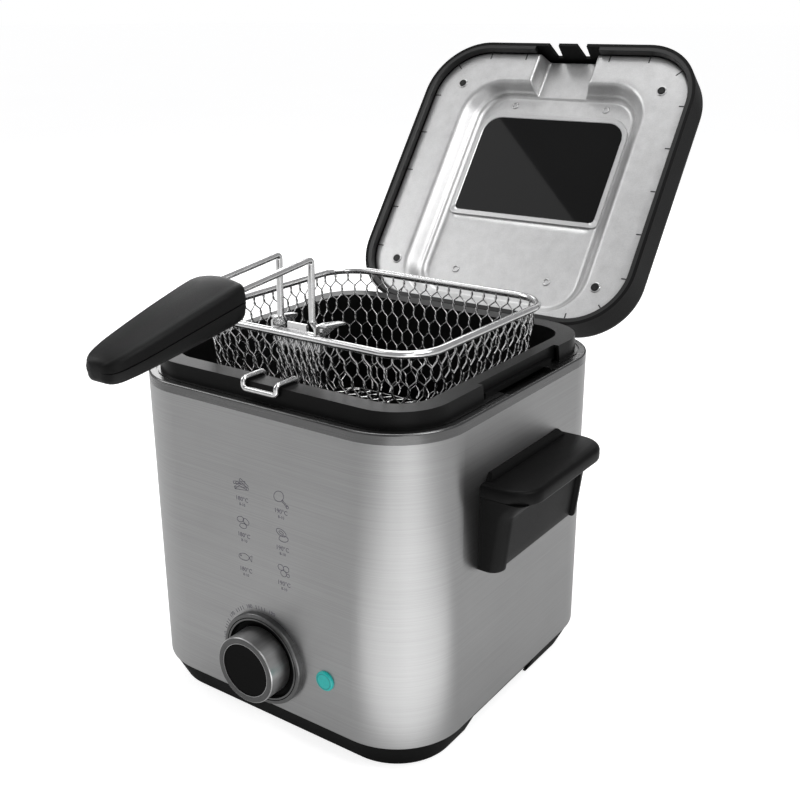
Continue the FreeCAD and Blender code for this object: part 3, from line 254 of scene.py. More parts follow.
# CAD nodes that stay visible, by look; the others are replaced by the pieces below
NODE_LOOKS = {
    casing_steel: "outer_casing",
    base_plastic: "base_tray cord_inlet hinge_mount",
    lid_plastic: "lid_cover",
    rubber: "foot_pads window_gasket",
    ring_metal: "top_ring",
    bowl_coating: "oil_bowl",
    window_glass: "window_glass",
    chrome: "basket_rim handle_bracket bracket_rivets handle_wires drain_hook",
    knob_metal: "knob_sleeve",
    bezel_metal: "dial_bezel",
    knob_black: "knob_cap",
    zinc: (
        "base_screws heat_shield shield_posts plate_studs thermal_fuse thermostat_bracket thermostat_nut "
        "thermostat_shaft handle_screws hinge_mount_screws hinge_pins grip_screws"
    ),
    screw_black: "lid_screws",
    cast_aluminium: "heat_plate",
    element_steel: "heating_element",
    control_plastic: "thermostat_body terminal_block",
    copper: "sensor_bulb capillary_tube",
    lead_insulation: "internal_leads",
    lamp_glass: "indicator_lamp",
    lens_teal: "indicator_lens",
}
for look, names in NODE_LOOKS.items():
    for name in names.split():
        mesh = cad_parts[name].data
        mesh.materials.clear()
        mesh.materials.append(look)


# ---- mesh helpers ----

SWING_OPEN = (
    Matrix.Translation(Vector((0, HINGE_Y, HINGE_Z)))
    @ Matrix.Rotation(math.radians(-LID_OPEN_DEG), 4, "X")
    @ Matrix.Translation(Vector((0, -HINGE_Y, -HINGE_Z)))
)


def add_piece(name, mesh, body, look, smooth=True, crease=None):
    """Object for a mesh, riding on a CAD body and finished with the given look.

    Edges that turn by more than crease degrees stay sharp."""
    piece = bpy.data.objects.new(name, mesh)
    bpy.context.scene.collection.objects.link(piece)
    mesh.materials.clear()
    mesh.materials.append(look)
    if smooth:
        mesh.polygons.foreach_set("use_smooth", [True] * len(mesh.polygons))
    if crease:
        mesh.set_sharp_from_angle(angle=math.radians(crease))
    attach(piece, body)
    return piece


def mesh_from(name, points, faces, swing=False):
    """Mesh from points in millimetres; swing turns closed-lid points to the open lid."""
    if swing:
        points = [SWING_OPEN @ Vector(point) for point in points]
    mesh = bpy.data.meshes.new(name)
    mesh.from_pydata([tuple(value * MM for value in point) for point in points], [], faces)
    mesh.update()
    return mesh


def rounded_ring(half_x, half_y, radii, centre_y, strip, counts):
    """Rounded rectangle as points that always come in the same order and number.

    radii are the front and rear corners, strip the fixed places across the front, and counts
    the points of each front run, corner, side run and rear run."""
    front_radius, rear_radius = radii
    run, corner, side, rear = counts
    front_y, rear_y = centre_y - half_y, centre_y + half_y
    front_x, low_y = half_x - front_radius, front_y + front_radius
    rear_x, high_y = half_x - rear_radius, rear_y - rear_radius
    start = strip[-1]
    turns = [math.pi / 2 * step / corner for step in range(1, corner + 1)]
    arc = [(math.sin(turn), math.cos(turn)) for turn in turns]
    half = [(x, front_y) for x in strip]
    half += [(start + (front_x - start) * step / run, front_y) for step in range(1, run + 1)]
    half += [(front_x + front_radius * sine, low_y - front_radius * cosine) for sine, cosine in arc]
    half += [(half_x, low_y + (high_y - low_y) * step / side) for step in range(1, side + 1)]
    half += [(rear_x + rear_radius * cosine, high_y + rear_radius * sine) for sine, cosine in arc]
    half += [(rear_x * (1 - step / rear), rear_y) for step in range(1, rear + 1)]
    left = [(-x, y) for x, y in reversed(half[1:-1])]
    return half + left


def blend_rings(first, second, share):
    """Ring that lies between two others, or past the second where share is above 1."""
    return [
        (a[0] + (b[0] - a[0]) * share, a[1] + (b[1] - a[1]) * share)
        for a, b in zip(first, second)
    ]


def ring_faces(ring_count, size, closed_loop=False):
    """Faces between neighbouring rings of one size; a closed loop joins the last to the first."""
    faces = []
    last = ring_count if closed_loop else ring_count - 1
    for ring in range(last):
        near = ring * size
        far = (ring + 1) % ring_count * size
        for step in range(size):
            after = (step + 1) % size
            faces.append((near + step, near + after, far + after, far + step))
    return faces


def curve_mesh(curve):
    """Mesh of a curve or text, which is removed."""
    holder = bpy.data.objects.new(curve.name, curve)
    mesh = bpy.data.meshes.new_from_object(holder)
    bpy.data.objects.remove(holder)
    bpy.data.curves.remove(curve)
    return mesh


def capped_faces(ring_count, point_count):
    """Faces between rings of the same size, closed by one face at each end."""
    size = point_count // ring_count
    ends = [tuple(reversed(range(size))), tuple(range(point_count - size, point_count))]
    return ring_faces(ring_count, size) + ends


def wires_mesh(name, paths, radius, sides=6):
    """Round wires along paths of points in millimetres."""
    curve = bpy.data.curves.new(name, "CURVE")
    curve.dimensions = "3D"
    curve.bevel_depth = radius * MM
    curve.bevel_resolution = max(0, sides // 2 - 2)
    curve.use_fill_caps = True
    for path in paths:
        spline = curve.splines.new("POLY")
        spline.points.add(len(path) - 1)
        for point, place in zip(spline.points, path):
            point.co = (place[0] * MM, place[1] * MM, place[2] * MM, 1.0)
    return curve_mesh(curve)


# ---- lid panel ----

PANE_CENTRE_Y = -13.9
PANE_HALF_X = 50.5
PANE_HALF_Y = 35.0
PANE_FRONT_CORNER = 12.0
PANE_REAR_CORNER = 3.0
REAR_CORNER_GROWTH = 0.2
PANE_COUNTS = (6, 12, 10, 8)
PANE_DEPTH = 0.3
PANE_SHEET = 1.0
LID_WALL = 2.0
FLANGE_OPENING = 23.0
FLANGE_COUNTS = (8, 16, 16, 12)
# the trough pressed round the window: half sizes, corners and centre of its mouth and its floor
TROUGH_MOUTH = (64.5, 79.0, (26.0, 26.0), 8.7)
TROUGH_FLOOR = (54.5, 72.5, (18.0, 18.0), 8.2)
PANEL_COUNTS = (6, 14, 22, 22)
# how far each ring is on its way, and for the turned edge also how far it rises
PANEL_TURN = 2.4
TURN_RISES = ((0.0, 1.6), (0.25, 0.7), (0.55, 0.2), (1.0, 0.0))
LAND_PERCENTS = (25, 50, 75, 90, 94, 97)
TROUGH_PERCENTS = (0, 10, 20, 35, 50, 60, 68, 74, 80, 86, 92, 100, 108, 116, 126)
FLOOR_SHARES = (0.3, 0.6, 0.85, 1.0)
LAND_SLOPE = 2.4
PRESS_BLEND = 0.22
RIDGE_HEIGHT = 0.75
RIDGE_AT = 0.74
RIDGE_WIDTH = 0.07
# the channel that the basket's wires leave through, pressed into the panel's front
CHANNEL_STRIP = (0, 4, 8, 11, 13.5, 15, 16, 16.8, 17.5, 18.2, 19, 19.8, 20.5, 21.2, 22, 23.2, 25, 28)
CHANNEL_BLEND = 0.25
CHANNEL_REAR_Y = -40.0
CHANNEL_LIMIT_X = 30.0


def soft_start(value, blend):
    """0 below 0 and value above it, with a smooth turn between."""
    if value < -blend:
        return 0.0
    if value > blend:
        return value
    return (value + blend) ** 2 / (4 * blend)


def soft_step(value, blend):
    """0 below 0, 1 above 1 and value between, with smooth turns."""
    return soft_start(value, blend) - soft_start(value - 1.0, blend)


def panel_ring(half_x, half_y, radii, centre_y=0.0):
    """Rounded ring with close points across the channel."""
    return rounded_ring(half_x, half_y, radii, centre_y, CHANNEL_STRIP, PANEL_COUNTS)


def channel_height(x):
    """Height of the channel above the panel's flat land."""
    share = (abs(x) - CHANNEL_FLOOR_X) / (CHANNEL_MOUTH_X - CHANNEL_FLOOR_X)
    return CHANNEL_DEPTH * (1.0 - soft_step(share, CHANNEL_BLEND))


def panel_rings():
    """Rings of the pressed sheet from its turned edge to the window opening."""
    mouth = panel_ring(*TROUGH_MOUTH)
    floor = panel_ring(*TROUGH_FLOOR)
    inner_corner = PANEL_CORNER - PANEL_TURN
    edge = panel_ring(PANEL_HALF_X, PANEL_HALF_Y, (PANEL_CORNER, PANEL_CORNER))
    inner = panel_ring(
        PANEL_HALF_X - PANEL_TURN, PANEL_HALF_Y - PANEL_TURN, (inner_corner, inner_corner),
    )
    opening = panel_ring(PANE_HALF_X, PANE_HALF_Y, (PANE_FRONT_CORNER, PANE_REAR_CORNER), PANE_CENTRE_Y)
    depth = DISH_FLOOR_Z - PANEL_Z
    rings = []
    for share, rise in TURN_RISES:
        rings.append((blend_rings(edge, inner, share), rise))
    for percent in LAND_PERCENTS:
        share = percent / 100
        rise = depth * soft_step(LAND_SLOPE * (share - 1.0), PRESS_BLEND)
        rings.append((blend_rings(inner, mouth, share), rise))
    for percent in TROUGH_PERCENTS:
        share = percent / 100
        ridge = RIDGE_HEIGHT * math.exp(-((share - RIDGE_AT) / RIDGE_WIDTH) ** 2)
        rise = depth * soft_step(share, PRESS_BLEND) - ridge
        rings.append((blend_rings(mouth, floor, share), rise))
    foot = blend_rings(mouth, floor, TROUGH_PERCENTS[-1] / 100)
    for share in FLOOR_SHARES:
        rings.append((blend_rings(foot, opening, share), depth))
    return rings


def build_panel():
    """Stamped sheet inside the lid, with its turned edge, trough and channel."""
    points = []
    rings = panel_rings()
    for ring, rise in rings:
        for x, y in ring:
            height = rise
            if y < CHANNEL_REAR_Y and abs(x) < CHANNEL_LIMIT_X:
                height = max(rise, channel_height(x))
            points.append((x, y, PANEL_Z + height))
    faces = ring_faces(len(rings), len(rings[0][0]))
    mesh = mesh_from("lid_panel_pressed", points, faces, swing=True)
    panel = add_piece("lid_panel_pressed", mesh, "lid", panel_aluminium)
    thick = panel.modifiers.new("sheet", "SOLIDIFY")
    thick.thickness = PANEL_SHEET * MM
    thick.offset = 1.0
    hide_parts("lid_panel")


# small rings on the panel: distance from its middle, places along it, height, radius, thickness,
# points round the ring and its section, and look
PANEL_RINGS = {
    "panel_eyelets": (71.5, (-66.3, 67.0), PANEL_Z, 2.8, 0.55, (20, 8), frame_trim),
    "panel_dimples": (33.0, (-58.5, 63.5), DISH_FLOOR_Z, 2.0, 0.6, (16, 6), panel_aluminium),
}
RING_SINK = 0.1
SLIT_LENGTH = 5.0
SLIT_WIDTH = 0.8
SLIT_HEIGHT = 0.12
SLIT_LIFT = 0.02
SLIT_EDGE = 0.6
SLIT_CORNER_EDGE = 0.4
SLIT_SIDE_YS = (59.2, 30.2, 1.7, -27.3, -56.3)
SLIT_FRONT_XS = (30.0, 57.0)
SLIT_REAR_X = 59.0


def small_ring(centre_x, centre_y, z, radius, tube, around, section):
    """Ring of round section lying on the panel, as points and faces."""
    points = []
    for step in range(around):
        turn = 2 * math.pi * step / around
        for part in range(section):
            roll = 2 * math.pi * part / section
            reach = radius + tube * math.cos(roll)
            points.append((
                centre_x + reach * math.cos(turn),
                centre_y + reach * math.sin(turn),
                z + tube * math.sin(roll),
            ))
    return points, ring_faces(around, section, closed_loop=True)


def join_parts(parts):
    """One list of points and faces from several."""
    points, faces = [], []
    for some_points, some_faces in parts:
        offset = len(points)
        points += some_points
        faces += [tuple(index + offset for index in face) for face in some_faces]
    return points, faces


def build_panel_details():
    """Eyelets in the panel's corners and dimples in the trough's floor."""
    for name, (ring_x, ring_ys, z, radius, tube, counts, look) in PANEL_RINGS.items():
        rings = [
            small_ring(side * ring_x, y, z - RING_SINK, radius, tube, *counts)
            for side in (-1, 1) for y in ring_ys
        ]
        mesh = mesh_from(name, *join_parts(rings), swing=True)
        add_piece(name, mesh, "lid", look)


def slit_shade_bar(start, along):
    """Thin dark bar lying on the panel, from start along a direction in its plane: painted shade standing
    in for the gap of a relief cut.
    """
    across = (-along[1], along[0])
    points = []
    top = PANEL_Z + SLIT_LIFT
    for level in (top, top - SLIT_HEIGHT):
        for end, edge in ((0, -1), (1, -1), (1, 1), (0, 1)):
            points.append((
                start[0] + along[0] * SLIT_LENGTH * end + across[0] * SLIT_WIDTH / 2 * edge,
                start[1] + along[1] * SLIT_LENGTH * end + across[1] * SLIT_WIDTH / 2 * edge,
                level,
            ))
    faces = [(3, 2, 1, 0), (4, 5, 6, 7), (0, 1, 5, 4), (1, 2, 6, 5), (2, 3, 7, 6), (3, 0, 4, 7)]
    return points, faces


def build_edge_slit_shade():
    """Painted shade of the short relief cuts round the pressed edge of the panel, drawn as dark bars on the
    sheet.
    """
    bars = []
    diagonal = math.sqrt(0.5)
    reach_x = (PANEL_HALF_X - PANEL_CORNER) + PANEL_CORNER * diagonal - SLIT_CORNER_EDGE
    reach_y = (PANEL_HALF_Y - PANEL_CORNER) + PANEL_CORNER * diagonal - SLIT_CORNER_EDGE
    for side in (-1, 1):
        for y in SLIT_SIDE_YS:
            bars.append(slit_shade_bar((side * (PANEL_HALF_X - SLIT_EDGE), y), (-side, 0)))
        for x in SLIT_FRONT_XS:
            bars.append(slit_shade_bar((side * x, -PANEL_HALF_Y + SLIT_EDGE), (0, 1)))
        bars.append(slit_shade_bar((side * SLIT_REAR_X, PANEL_HALF_Y - SLIT_EDGE), (0, -1)))
        for end in (-1, 1):
            bars.append(slit_shade_bar((side * reach_x, end * reach_y), (-side * diagonal, -end * diagonal)))
    mesh = mesh_from("panel_edge_slit_shade", *join_parts(bars), swing=True)
    add_piece("panel_edge_slit_shade", mesh, "lid", slit_painted_shade, smooth=False)


# section of the trim: how far it laps round the pane, and its height from the trough's floor
TRIM_PROFILE = ((3.5, 0.1), (3.5, -0.5), (3.2, -0.8), (0.4, -0.8), (0.0, -0.5), (0.0, 0.1))


def pane_ring(lap):
    """Outline of the window pane, widened by lap; its rear corners stay nearly square."""
    corners = (PANE_FRONT_CORNER + lap, PANE_REAR_CORNER + lap * REAR_CORNER_GROWTH)
    return rounded_ring(
        PANE_HALF_X + lap, PANE_HALF_Y + lap, corners, PANE_CENTRE_Y, (0.0,), PANE_COUNTS,
    )


def build_window_frame():
    """Trim frame, square at the rear corners and round at the front ones."""
    points = []
    for lap, rise in TRIM_PROFILE:
        points += [(x, y, DISH_FLOOR_Z + rise) for x, y in pane_ring(lap)]
    size = len(points) // len(TRIM_PROFILE)
    faces = ring_faces(len(TRIM_PROFILE), size, closed_loop=True)
    mesh = mesh_from("window_trim", points, faces, swing=True)
    trim = add_piece("window_trim", mesh, "lid", frame_trim, crease=35)
    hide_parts("window_frame")


def build_window_pane():
    """Dark face of the window, just behind the trim."""
    ring = pane_ring(0.0)
    near = DISH_FLOOR_Z - PANE_DEPTH
    points = [(x, y, near) for x, y in ring] + [(x, y, near + PANE_SHEET) for x, y in ring]
    mesh = mesh_from("window_pane_face", points, capped_faces(2, len(points)), swing=True)
    add_piece("window_pane_face", mesh, "lid", window_glass, smooth=False)


def build_lip_flange():
    """Flat lip inside the cover's edge, left open at the front for the drain hook."""
    outer, inner = LID_WALL - 0.1, PANEL_INSET + 0.5
    low, high = LIP_Z + 0.1, PANEL_Z - 0.4
    profile = ((outer, low), (PANEL_INSET + 0.2, low), (inner, LIP_Z + 0.4), (inner, high), (outer, high))
    rings = []
    for inset, z in profile:
        ring = rounded_ring(
            LID_HALF_X - inset, LID_HALF_Y - inset, (LID_CORNER - inset, LID_CORNER - inset),
            0.0, (0.0, FLANGE_OPENING), FLANGE_COUNTS,
        )
        rings.append([(x, y, z) for x, y in ring[1:]])
    count = len(rings)
    points = [ring[step] for step in range(len(rings[0])) for ring in rings]
    faces = []
    for step in range(len(rings[0]) - 1):
        near, far = step * count, (step + 1) * count
        for part in range(count):
            after = (part + 1) % count
            faces.append((near + part, far + part, far + after, near + after))
    faces.append(tuple(range(count)))
    faces.append(tuple(reversed(range(len(points) - count, len(points)))))
    mesh = mesh_from("lid_lip_flange", points, faces, swing=True)
    add_piece("lid_lip_flange", mesh, "lid", lip_plastic, crease=40)


# ---- wire basket ----

def outline_length(half_x, half_y, corner):
    """Length of the way round a rounded rectangle."""
    return 4 * (half_x - corner) + 4 * (half_y - corner) + 2 * math.pi * corner


def outline_place(half_x, half_y, corner, fraction):
    """Point and outward direction on a rounded rectangle, fraction of the way round it."""
    flat_x = half_x - corner
    flat_y = half_y - corner
    arc = math.pi / 2 * corner
    left = fraction % 1.0 * outline_length(half_x, half_y, corner)
    runs = (
        ((0, -half_y), (1, 0), flat_x, (0, -1)),
        ((half_x, -flat_y), (0, 1), 2 * flat_y, (1, 0)),
        ((flat_x, half_y), (-1, 0), 2 * flat_x, (0, 1)),
        ((-half_x, flat_y), (0, -1), 2 * flat_y, (-1, 0)),
        ((-flat_x, -half_y), (1, 0), flat_x, (0, -1)),
    )
    centres = ((flat_x, -flat_y), (flat_x, flat_y), (-flat_x, flat_y), (-flat_x, -flat_y))
    for index, (start, heading, length, outward) in enumerate(runs):
        if left <= length or index == len(centres):
            return (start[0] + heading[0] * left, start[1] + heading[1] * left), outward
        left -= length
        if left <= arc:
            turn = left / arc * math.pi / 2 + math.radians(90 * index - 90)
            direction = (math.cos(turn), math.sin(turn))
            centre = centres[index]
            return (centre[0] + direction[0] * corner, centre[1] + direction[1] * corner), direction
        left -= arc


NET_TWIST = 5.6
TWIST_STEPS = 6
NET_RADIUS = 0.42
NET_GAP = 0.38
NET_WEAVE = 0.34
WALL_WIRES = 128
WALL_ROWS = 9
FLOOR_SPACING = 4.1
FLOOR_HALF_X = 55.5
FLOOR_HALF_Y = 49.75
FLOOR_CORNER = 9.2
FLOOR_SIDE_WIRES = 13
FLOOR_MARGIN = 0.3
OVERLAP_SPACING = 2.0
OVERLAP_LIFT = 0.6
OVERLAP_SIDE_WIRES = 6
OVERLAP_ROWS = 5
OVERLAP_PITCH = 7.4
OVERLAP_TWIST = 4.4
WALL_DRAFT = 6.4
WALL_INSET = 1.1
# the basket's corners tighten by the inset up to a limit, and again round the fold at its foot
CORNER_SHRINK = 6.0
FOOT_INSET = 8.0
FOOT_SHRINK = 0.8
FOLD = 9.0
FOLD_STEPS = 160
WALL_RUN = BASKET_RIM_Z - BASKET_BOTTOM_Z - FOLD


def wall_place(fraction, down, outward=0.0):
    """Point on the basket wall: down is the distance from the rim along the wall."""
    if down <= WALL_RUN:
        inset = WALL_INSET + WALL_DRAFT * down / WALL_RUN
        z = BASKET_RIM_Z - down
        lean = 0.0
    else:
        turn = min((down - WALL_RUN) / FOLD, math.pi / 2)
        inset = WALL_INSET + WALL_DRAFT + FOLD * (1 - math.cos(turn))
        z = BASKET_BOTTOM_Z + FOLD * (1 - math.sin(turn))
        lean = turn
    foot_shrink = max(0.0, (inset - FOOT_INSET) * FOOT_SHRINK)
    corner = BASKET_CORNER - min(inset, CORNER_SHRINK) - foot_shrink
    place, away = outline_place(BASKET_HALF_X - inset, BASKET_HALF_Y - inset, corner, fraction)
    reach = outward * math.cos(lean)
    return (
        place[0] + away[0] * reach,
        place[1] + away[1] * reach + BASKET_CENTRE_Y,
        z - outward * math.sin(lean),
    )


def net_wire(index, rows, pitch, twist, cell, gap, place):
    """Path of one wire of a hexagonal net: it meets its neighbours in turn and twists with them."""
    path = []
    for row in range(rows):
        side = 1 if (index + row) % 2 == 0 else -1
        centre = (index + side * 0.5) * cell
        top = row * pitch
        for step in range(TWIST_STEPS + 1):
            turn = 2 * math.pi * step / TWIST_STEPS
            path.append(place(
                centre - side * gap * math.cos(turn),
                top + twist * step / TWIST_STEPS,
                side * NET_WEAVE * math.sin(turn),
            ))
    return path


def floor_limit(x):
    """How far the basket floor reaches to the front and rear at distance x from its middle."""
    past = abs(x) - (FLOOR_HALF_X - FLOOR_CORNER)
    if past <= 0:
        return FLOOR_HALF_Y
    return FLOOR_HALF_Y - FLOOR_CORNER + math.sqrt(max(0.0, FLOOR_CORNER ** 2 - past ** 2))


def floor_wire(index, rows, pitch):
    """One wire of the floor net, cut off where the floor turns up into the walls."""

    def place(across, along, out):
        return (across, along - FLOOR_HALF_Y - pitch / 2, BASKET_BOTTOM_Z + NET_RADIUS + out)

    path = net_wire(index, rows, pitch, NET_TWIST, FLOOR_SPACING, NET_GAP, place)
    inside = [point for point in path if abs(point[1]) < floor_limit(point[0]) - FLOOR_MARGIN]
    if not inside:
        return None
    (x0, _, z0), (x1, _, z1) = inside[0], inside[-1]
    path = [(x0, -floor_limit(x0), z0)] + inside + [(x1, floor_limit(x1), z1)]
    return [(x, y + BASKET_CENTRE_Y, z) for x, y, z in path]


def build_basket_net():
    """Hexagonal net of the basket's walls and floor, and the wire along the fold between them."""
    gap = NET_GAP / outline_length(BASKET_HALF_X, BASKET_HALF_Y, BASKET_CORNER)
    wall_end = WALL_RUN + FOLD * math.pi / 2
    pitch = wall_end / WALL_ROWS
    paths = []
    for index in range(WALL_WIRES):
        paths.append(net_wire(
            index, WALL_ROWS, pitch, NET_TWIST, 1.0 / WALL_WIRES, gap, wall_place,
        ))
    floor_rows = int(2 * FLOOR_HALF_Y / pitch) + 2
    for index in range(-FLOOR_SIDE_WIRES, FLOOR_SIDE_WIRES + 1):
        path = floor_wire(index, floor_rows, pitch)
        if path:
            paths.append(path)
    fold = [wall_place(step / FOLD_STEPS, wall_end) for step in range(FOLD_STEPS + 1)]
    mesh = wires_mesh("basket_net", paths + [fold], NET_RADIUS)
    # the net's steel carries painted shade; the rim and the front overlap keep the brighter chrome
    net = add_piece("basket_net", mesh, "basket", net_steel_painted_shade)
    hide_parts("basket_mesh")


def build_front_overlap():
    """The strip of closer net behind the bracket, where the ends of the net overlap."""
    length = outline_length(BASKET_HALF_X, BASKET_HALF_Y, BASKET_CORNER)
    paths = []
    for index in range(-OVERLAP_SIDE_WIRES, OVERLAP_SIDE_WIRES + 1):
        paths.append(net_wire(
            index, OVERLAP_ROWS, OVERLAP_PITCH, OVERLAP_TWIST,
            OVERLAP_SPACING / length, NET_GAP / length,
            lambda around, down, out: wall_place(around, down, out + OVERLAP_LIFT),
        ))
    mesh = wires_mesh("basket_net_overlap", paths, NET_RADIUS)
    add_piece("basket_net_overlap", mesh, "basket", chrome)


# ---- basket grip ----

GRIP_CROWN = 0.16
# largest corner radii, and the share of the half height that they may take
TOP_CORNER = (3.4, 0.42)
LOW_CORNER = (5.0, 0.6)
TOP_DRAFT = 0.6
LOW_DRAFT = 0.7
CORNER_STEPS = 8
CROWN_STEPS = 7
# groove at the seam: how far in from the side, and height
SEAM_PROFILE = ((0.1, -0.45), (0.15, -0.25), (0.9, -0.2), (0.9, 0.2), (0.15, 0.25), (0.0, 0.45))
# rounded ends: distance from the end, and how much smaller the section is there
GRIP_NOSE = ((0.0, 1.0), (0.15, 0.55), (0.45, 0.2), (1.0, 0.0), (2.5, 0.0))
GRIP_TAIL = ((6.0, 0), (4.5, 0), (3.0, 0), (2.0, 0), (1.2, 0), (0.6, 0), (0.2, 0.5), (0.0, 1.4))
GRIP_START = 5.5
GRIP_PITCH = 4.0
GRIP_MIDDLES = 16


def smooth_value(table, column, y):
    """Catmull-Rom value of a column of the table at distance y."""
    for index in range(len(table) - 1):
        near, far = table[index], table[index + 1]
        if far[0] <= y <= near[0]:
            before = table[max(index - 1, 0)]
            after = table[min(index + 2, len(table) - 1)]
            share = (y - near[0]) / (far[0] - near[0])
            span = far[0] - near[0]
            slope_near = (far[column] - before[column]) / (far[0] - before[0]) * span
            slope_far = (after[column] - near[column]) / (after[0] - near[0]) * span
            square, cube = share ** 2, share ** 3
            return (
                near[column] * (2 * cube - 3 * square + 1) + slope_near * (cube - 2 * square + share)
                + far[column] * (3 * square - 2 * cube) + slope_far * (cube - square)
            )
    return table[-1][column]


def grip_section(half_width, half_height):
    """Section of the grip: crowned top, creased shoulders and a narrow groove at the seam."""
    top_corner = min(TOP_CORNER[0], TOP_CORNER[1] * half_height)
    low_corner = min(LOW_CORNER[0], LOW_CORNER[1] * half_height)
    crown = GRIP_CROWN * half_height
    shoulder = half_height - crown - top_corner
    half = [(half_width * step / 6 * 0.6, -half_height) for step in range(6)]
    for step in range(CORNER_STEPS + 1):
        turn = math.pi / 2 * step / CORNER_STEPS
        half.append((
            half_width - LOW_DRAFT - low_corner * (1 - math.sin(turn)),
            -half_height + low_corner * (1 - math.cos(turn)),
        ))
    half += [(half_width - inset, z) for inset, z in SEAM_PROFILE]
    for step in range(CORNER_STEPS + 1):
        turn = math.pi / 2 * step / CORNER_STEPS
        half.append((
            half_width - TOP_DRAFT - top_corner * (1 - math.cos(turn)),
            shoulder + top_corner * math.sin(turn),
        ))
    inner = half_width - TOP_DRAFT - top_corner
    for step in range(1, CROWN_STEPS + 1):
        across = inner * (1 - step / CROWN_STEPS)
        half.append((across, half_height - crown * (across / inner) ** 2))
    left = [(-x, z) for x, z in reversed(half[1:-1])]
    return half + left


def build_grip():
    """Moulded grip with rounded ends, lofted through its sections."""
    first_y, last_y = GRIP_SECTIONS[0][0], GRIP_SECTIONS[-1][0]
    stations = [(first_y - past, less) for past, less in GRIP_NOSE]
    stations += [(first_y - GRIP_START - GRIP_PITCH * step, 0) for step in range(GRIP_MIDDLES)]
    stations += [(last_y + short, less) for short, less in GRIP_TAIL]
    points = []
    for y, less in stations:
        section = grip_section(
            smooth_value(GRIP_SECTIONS, 3, y) - less, smooth_value(GRIP_SECTIONS, 2, y) - less,
        )
        centre = smooth_value(GRIP_SECTIONS, 1, y)
        points += [(across, y, centre + up) for across, up in section]
    mesh = mesh_from("basket_grip", points, capped_faces(len(stations), len(points)))
    grip = add_piece("basket_grip", mesh, "basket_handle", grip_plastic, crease=38)
    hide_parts("grip_upper", "grip_lower")


# ---- side handles ----

HANDLE_WALL_X = 95.0
HANDLE_HALF_Y = 43.5
HANDLE_CORNER = 6.0
SHELF_REACH = 27.0
SHELF_CORNER = 15.0
HOLLOW_HALF_Y = 36.5
HOLLOW_TOP_Z = 130.0
HOLLOW_CORNER = 9.0
HOLLOW_DEPTH = 2.2
HOLLOW_EDGE = 0.5
OUTLINE_STEPS = 10
# heights of the handle's block and how far it reaches from the casing there
BLOCK_LEVELS = (
    (99.6, 10.8), (100.2, 11.6), (101.1, 12.0), (105.0, 12.5), (110.0, 13.2), (115.0, 13.8), (119.0, 14.3),
    (121.5, 14.6), (124.0, 14.9), (126.0, 15.2), (127.6, 15.4), (128.8, 15.7), (129.6, 15.9), (130.0, 16.0),
    (130.7, 16.4), (132.5, 17.5), (134.5, 19.2), (136.5, 21.4), (138.4, 24.0),
)
# heights of the shelf and how far its edge is drawn in there
SHELF_LEVELS = (
    (137.6, 1.0), (138.0, 0.4), (138.8, 0.0), (143.0, 0.0), (144.0, 0.35), (144.8, 1.1), (145.2, 2.2),
)
SHELF_FLAT_HALF_Y = 20.0
# heights of the rail along the casing, how far it reaches, and its half length
RAIL_LEVELS = ((144.5, 3.4, 38.5), (145.4, 3.4, 38.4), (148.3, 1.9, 35.9), (148.8, 1.3, 35.5))


def handle_outline(reach, half_y, corner, hollow, hollow_half):
    """Plan of the handle from the casing out and back, with a shallow hollow in its outer face."""
    points = [(0.0, -half_y), (reach - corner, -half_y)]
    for step in range(1, OUTLINE_STEPS + 1):
        turn = math.pi / 2 * step / OUTLINE_STEPS
        points.append((reach - corner + corner * math.sin(turn), -half_y + corner * (1 - math.cos(turn))))
    floor = reach - hollow
    points += [(reach, -hollow_half - HOLLOW_EDGE), (floor, -hollow_half), (floor, -hollow_half / 2)]
    return points + [(x, -y) for x, y in reversed(points)]


def handle_shell(levels):
    """Closed stack of outlines, each a height and a plan."""
    points = [(HANDLE_WALL_X + x, y, z) for z, plan in levels for x, y in plan]
    return points, capped_faces(len(levels), len(points))


def handle_parts():
    """Points and faces of one handle: its hollowed block, the shelf on it and the rail at the casing."""
    block = []
    for z, reach in BLOCK_LEVELS:
        depth = HOLLOW_DEPTH if z < HOLLOW_TOP_Z else 0.0
        above = max(0.0, z - (HOLLOW_TOP_Z - HOLLOW_CORNER))
        half = HOLLOW_HALF_Y - HOLLOW_CORNER + math.sqrt(max(0.5, HOLLOW_CORNER ** 2 - above ** 2))
        corner = min(HANDLE_CORNER, reach - 0.2)
        block.append((z, handle_outline(reach, HANDLE_HALF_Y, corner, depth, half)))
    shelf = []
    for z, inset in SHELF_LEVELS:
        shelf.append((z, handle_outline(
            SHELF_REACH - inset, HANDLE_HALF_Y - inset, SHELF_CORNER - inset, 0.0, SHELF_FLAT_HALF_Y,
        )))
    rail = []
    for z, reach, half in RAIL_LEVELS:
        rail.append((z, [(0.0, -half), (reach, -half + 0.4), (reach, half - 0.4), (0.0, half)]))
    return join_parts([handle_shell(levels) for levels in (block, shelf, rail)])


def build_side_handles():
    """The moulding on the right of the casing, and its mirror image on the left."""
    points, faces = handle_parts()
    for side, name in ((1, "right"), (-1, "left")):
        placed = [(side * x, y, z) for x, y, z in points]
        turned = faces if side > 0 else [tuple(reversed(face)) for face in faces]
        mesh = mesh_from("handle_moulding_" + name, placed, turned)
        handle = add_piece(mesh.name, mesh, "root", handle_plastic, crease=32)
        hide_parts("side_handle_" + name)


# ---- dial ----

# sections of the turned pieces: radius, and distance behind their front face
KNOB_RIM = (
    (14.75, 0.6), (14.75, 0.05), (15.0, -0.12), (17.3, -0.12), (17.75, 0.0), (17.9, 0.3), (17.9, 0.6),
)
LENS_RING = ((3.7, 0.2), (3.9, -0.1), (4.3, -0.1), (4.5, 0.25))


